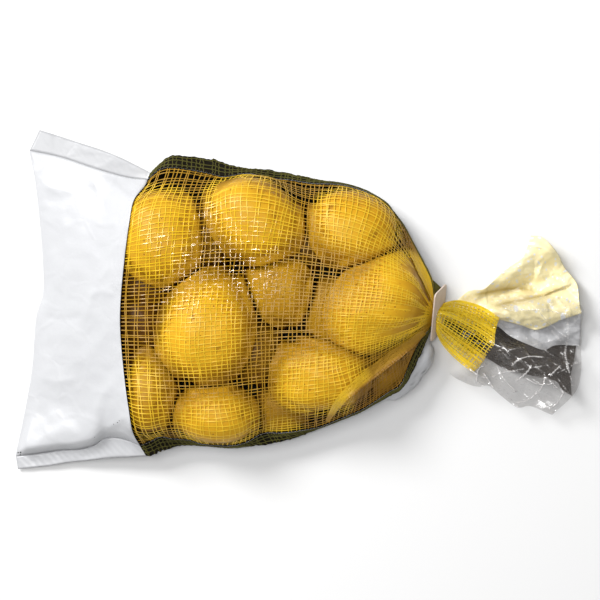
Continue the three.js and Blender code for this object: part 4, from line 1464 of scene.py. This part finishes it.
def mouth_film(name, rows, columns, creases=(), seed=80):
    """One film of the mouth as a grid, laid in its place in the pile."""
    spec = dict(FILMS[name])
    layer = spec.pop("layer")
    grid = patch(**spec, rows=rows, columns=columns)
    x, y = grid[..., 0], grid[..., 1]
    height = pile_height(x, y) + layer * LAYER
    if name == "film_clear":
        height = height + 2 * fan_half(neck_distance(x, y)) + LAYER
    height = height + facets(x, y, seed, FACET_WIDTH, FACET_HEIGHT, 6)
    for spec in creases:
        height = height + crease(grid, *spec)
    grid[..., 2] = np.maximum(height, LOWEST_FILM)
    return grid


CREST_FROM, CREST_FULL = 0.25, 0.5  # how much a film's slope changes where a crease begins to show, and beyond


def crests(grid):
    """How sharply a film is creased upwards at each of its places, from 0 to 1."""
    z = grid[..., 2]
    step, side = (np.linalg.norm(np.gradient(grid[..., :2], axis=k), axis=-1) + 1e-6 for k in (0, 1))
    bend = np.zeros(z.shape)
    bend[1:-1] -= (z[2:] + z[:-2] - 2 * z[1:-1]) / step[1:-1]
    bend[:, 1:-1] -= (z[:, 2:] + z[:, :-2] - 2 * z[:, 1:-1]) / side[:, 1:-1]
    return smooth((bend - CREST_FROM) / CREST_FULL)


def flat_places(grid):
    """Where each place of a grid lay when its film was flat, in metres along and across."""
    rows, columns = grid.shape[:2]
    down = np.cumsum(np.linalg.norm(np.diff(grid, axis=0, prepend=grid[:1]), axis=-1), axis=0).mean(1)
    across = np.cumsum(np.linalg.norm(np.diff(grid, axis=1, prepend=grid[:, :1]), axis=-1), axis=1)[rows * 2 // 3]
    u, v = np.broadcast_to(down[:, None], (rows, columns)), np.broadcast_to(across, (rows, columns))
    flat = np.stack([u, v], axis=-1).reshape(-1, 2) * MM
    return np.concatenate([flat, flat])


class POTATO_NET_OT_mouth_films(bpy.types.Operator):
    """Add the films of the mouth: black, white and printed yellow, under a crumpled clear one"""

    bl_idname = "potato_net.mouth_films"
    bl_label = "Films of the mouth"

    PLAIN_GRID, CLEAR_GRID = (110, 90), (150, 170)  # rows and columns
    VEIL_FROM, VEIL_FADE = 44, 10  # the clear film hardly shows nearer to the neck than this
    VEIL_UPPER, VEIL_UPPER_FADE, VEIL_UPPER_SHARE = -28, 14, 0.4  # and is thinner above this line along Y

    def execute(self, context):
        film = settings("films").thickness / MM
        for name, material, slot, creases, seed in (
            ("film_black", dark_material("glossy black film"), "black_film", (), 81),
            ("film_white", white_material(), "white_film", (), 82),
            ("film_yellow", yellow_material(), "yellow_film", YELLOW_CREASES, 83),
        ):
            grid = mouth_film(name, *self.PLAIN_GRID, creases, seed)
            places, faces, _ = shell(grid, film)
            piece = add_mesh("mouth_" + name[5:], places, faces, [material], slot, [name], uv=flat_places(grid))
            if name == "film_yellow":
                # Painted shade in the yellow film's folds.
                fold = sum(crease(grid, path, 1.0, width) for path, width in YELLOW_FOLD_SHADES)
                mark_places(piece, "fold", np.tile(np.clip(fold, 0, 1).ravel(), 2))
        grid = mouth_film("film_clear", *self.CLEAR_GRID, CLEAR_CREASES, 84)
        places, faces, _ = shell(grid, film)
        piece = add_mesh("mouth_clear", places, faces, [clear_material()], "clear_film", ["film_clear"])
        x, y = grid[..., 0], grid[..., 1]
        veil = mix(0.02, 1.0, smooth((neck_distance(x, y) - self.VEIL_FROM) / self.VEIL_FADE))
        veil *= mix(self.VEIL_UPPER_SHARE, 1.0, smooth((self.VEIL_UPPER - y) / self.VEIL_UPPER_FADE))
        # The crests carry the clear film's painted highlights.
        mark_places(piece, "crest", np.tile(crests(grid).ravel(), 2))
        mark_places(piece, "veil", np.tile(veil.ravel(), 2))
        return {"FINISHED"}


VALLEY_DEPTH, VALLEY_WIDTH = 3.0, 0.05  # the width as a share of the fan's


def fan_surface(side, rows, columns, phase):
    """The net beyond the tag: a round bunch that opens into a flat, pleated fan with a valley along its middle."""
    t = np.linspace(0, 1, columns + 1)
    ring = np.stack([0 * t, np.cos(np.pi * t), side * np.sin(np.pi * t)], axis=1) * NECK_RADIUS + NECK
    stub = [ring + (x, 0, 0) for x in np.linspace(0.4, FAN_STUB, 5)]
    opened = patch(**FAN, rows=rows, columns=columns)
    out = np.linspace(0, 1, rows + 1)[:, None]
    opened[..., 1] += (1 - out) * (stub[-1][:, 1] - opened[0, :, 1])
    x, y = opened[..., 0], opened[..., 1]
    half = fan_half(neck_distance(x, y))
    rest = pile_height(x, y) + 3 * LAYER + half
    middle = mix(NECK[2], rest, smooth(FAN_LAID * out))
    pleats = 0.9 * np.sin(2 * np.pi * 9 * t + phase) + 0.5 * np.sin(2 * np.pi * 23 * t + 2 * phase)
    valley = -VALLEY_DEPTH * np.exp(-(((t - 0.5) / VALLEY_WIDTH) ** 2))
    fade = smooth(5 * out) * np.sin(np.pi * t) ** 0.5
    opened[..., 2] = middle + side * half * np.sin(np.pi * t) + fade * (pleats + valley)
    return np.concatenate([stub, opened[1:]])


class POTATO_NET_OT_mouth_net(bpy.types.Operator):
    """Add the net of the mouth, gathered in the tag and spread into a fan"""

    bl_idname = "potato_net.mouth_net"
    bl_label = "Net of the mouth"

    ROWS, COLUMNS = 44, 120
    STEPS, CROSS_STEPS = 60, 110
    # The fan's layers of net: name, side, first and last share of its width, tapes out, and seed.
    LAYERS = (
        ("fan_top", 1.0, 0.0, 1.0, 23, 91),
        ("fan_upper_lobe", 0.75, 0.02, 0.44, 15, 93),
        ("fan_upper_lining", 0.45, 0.0, 0.46, 14, 95),
        ("fan_lower_lobe", 0.6, 0.66, 1.0, 11, 97),
        ("fan_lower_lining", 0.2, 0.68, 1.0, 10, 98),
        ("fan_lining", -1.0, 0.0, 0.40, 10, 99),
    )
    CROSS_TAPES = 17
    OVER, UNDER = 0.3, 0.1  # where the tapes of each direction lie over the fan's surface
    LAYER_DROP = 0.5  # the lower a layer's side, the deeper it lies

    def execute(self, context):
        for name, side, first, last, count, seed in self.LAYERS:
            grid = fan_surface(side, self.ROWS, self.COLUMNS, seed)
            grid[..., 2] -= self.LAYER_DROP * (1 - side)
            normals = grid_normals(grid)
            rng = np.random.default_rng(seed)
            last_row, crossing = grid.shape[0] - 1, self.CROSS_TAPES
            columns = from_to(first, last, count) * self.COLUMNS + rng.normal(size=(count, 1)) * 0.4
            columns = columns + 0.6 * slow_noise(rng, count, self.STEPS, 1)
            rows = np.linspace(0, last_row, self.STEPS)
            outward = tapes(grid, normals, rows, columns, self.OVER, seed + 1, narrow=0.5)
            rows = last_row * (np.arange(crossing) + rng.uniform(0.3, 0.95)) / crossing
            rows = rows[:, None] + rng.normal(size=(crossing, 1)) * 0.2
            rows = rows + 0.3 * slow_noise(rng, crossing, self.CROSS_STEPS, 3)
            columns = np.linspace(first, last, self.CROSS_STEPS) * self.COLUMNS
            across = tapes(grid, normals, rows, columns, self.UNDER, seed + 2, narrow=0.6)
            mesh, material = joined(outward, across), net_material("fan net")
            add_mesh(name, *mesh, [material], "yellow_net", ["net_fan"], rounded=False)
        return {"FINISHED"}


class POTATO_NET_OT_tag(bpy.types.Operator):
    """Give the tag on the neck its plastic"""

    bl_idname = "potato_net.tag"
    bl_label = "Tag"

    def execute(self, context):
        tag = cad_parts["closure_tag"]
        tag.data.materials.clear()
        tag.data.materials.append(tag_material())
        return {"FINISHED"}


# ---------------------------------------------------------------- the stage


class POTATO_NET_OT_stage(bpy.types.Operator):
    """Add the floor, the lights and the camera above"""

    bl_idname = "potato_net.stage"
    bl_label = "Stage"

    FLOOR_SIZE = 6.0
    SENSOR = 36.0
    CAMERA_Y = -0.0008
    # Each lamp's place and size.
    LAMPS = {
        "side": ((-1.05, 0.95, 1.22), 0.75),
        "soft": ((-0.62, 0.30, 2.10), 0.9),
        "high": ((-0.14, 0.06, 3.00), 0.34),
    }

    def execute(self, context):
        scene = context.scene
        look = settings("stage")
        self.add_floor(look)
        self.add_world(scene, look)
        for name, (place, size) in self.LAMPS.items():
            self.add_lamp(scene, name, place, size, getattr(look, name))
        camera = bpy.data.cameras.new("camera")
        camera.sensor_width = self.SENSOR
        middle = CAD_BOX[1][2] / 2
        camera.lens = self.SENSOR * (look.camera_height - middle) / look.view_width
        holder = bpy.data.objects.new("camera", camera)
        holder.location = (0.0, self.CAMERA_Y, look.camera_height)
        scene.collection.objects.link(holder)
        scene.camera = holder
        scene.view_settings.view_transform = "Standard"
        return {"FINISHED"}

    def add_floor(self, look):
        half = self.FLOOR_SIZE / 2
        mesh = bpy.data.meshes.new("floor")
        corners = [(-half, -half, 0), (half, -half, 0), (half, half, 0), (-half, half, 0)]
        mesh.from_pydata(corners, [], [(0, 1, 2, 3)])
        floor = bpy.data.objects.new("floor", mesh)
        mesh.materials.append(shader("floor", Base_Color=look.floor, Specular_IOR_Level=0.0, Roughness=0.9)[0])
        bpy.context.scene.collection.objects.link(floor)

    def add_world(self, scene, look):
        """Soft light from all sides, weaker overhead."""
        world = bpy.data.worlds.new("soft light")
        world.use_nodes = True
        nodes = Nodes(world.node_tree)
        background = world.node_tree.nodes["Background"]
        nodes.set(background.inputs["Color"], (1.0, 1.0, 1.0))
        height = nodes.new("SeparateXYZ", {0: nodes.new("TexCoord").outputs["Generated"]}).outputs[2]
        nodes.set(background.inputs["Strength"], nodes.ramp(height, 0.45, 0.95, look.fill, look.zenith))
        scene.world = world

    def add_lamp(self, scene, name, place, size, power):
        lamp = bpy.data.lights.new(name, "AREA")
        lamp.shape = "DISK"
        lamp.size = size
        lamp.energy = power
        holder = bpy.data.objects.new(name, lamp)
        holder.location = place
        holder.rotation_euler = (-Vector(place)).to_track_quat("-Z", "Y").to_euler()
        scene.collection.objects.link(holder)


# ---------------------------------------------------------------- the panel, and the run

OPERATORS = (
    POTATO_NET_OT_stage,
    POTATO_NET_OT_potatoes,
    POTATO_NET_OT_sleeve,
    POTATO_NET_OT_seals,
    POTATO_NET_OT_net,
    POTATO_NET_OT_tag,
    POTATO_NET_OT_mouth_films,
    POTATO_NET_OT_mouth_net,
)


class POTATO_NET_PT_panel(bpy.types.Panel):
    """The net of potatoes, piece by piece"""

    bl_idname = "POTATO_NET_PT_panel"
    bl_label = "Potato net"
    bl_space_type = "VIEW_3D"
    bl_region_type = "UI"
    bl_category = "Potato net"

    def draw(self, context):
        for operator in OPERATORS:
            self.layout.operator(operator.bl_idname)


CLASSES = (*GROUPS.values(), *OPERATORS, POTATO_NET_PT_panel)


def register():
    for made in CLASSES:
        bpy.utils.register_class(made)
    for name, group in GROUPS.items():
        setattr(bpy.types.Scene, name, PointerProperty(type=group))


def unregister():
    for name in GROUPS:
        delattr(bpy.types.Scene, name)
    for made in reversed(CLASSES):
        bpy.utils.unregister_class(made)


def main():
    register()
    for operator in OPERATORS:
        group, name = operator.bl_idname.split(".")
        getattr(getattr(bpy.ops, group), name)()


if __name__ == "__main__":
    main()
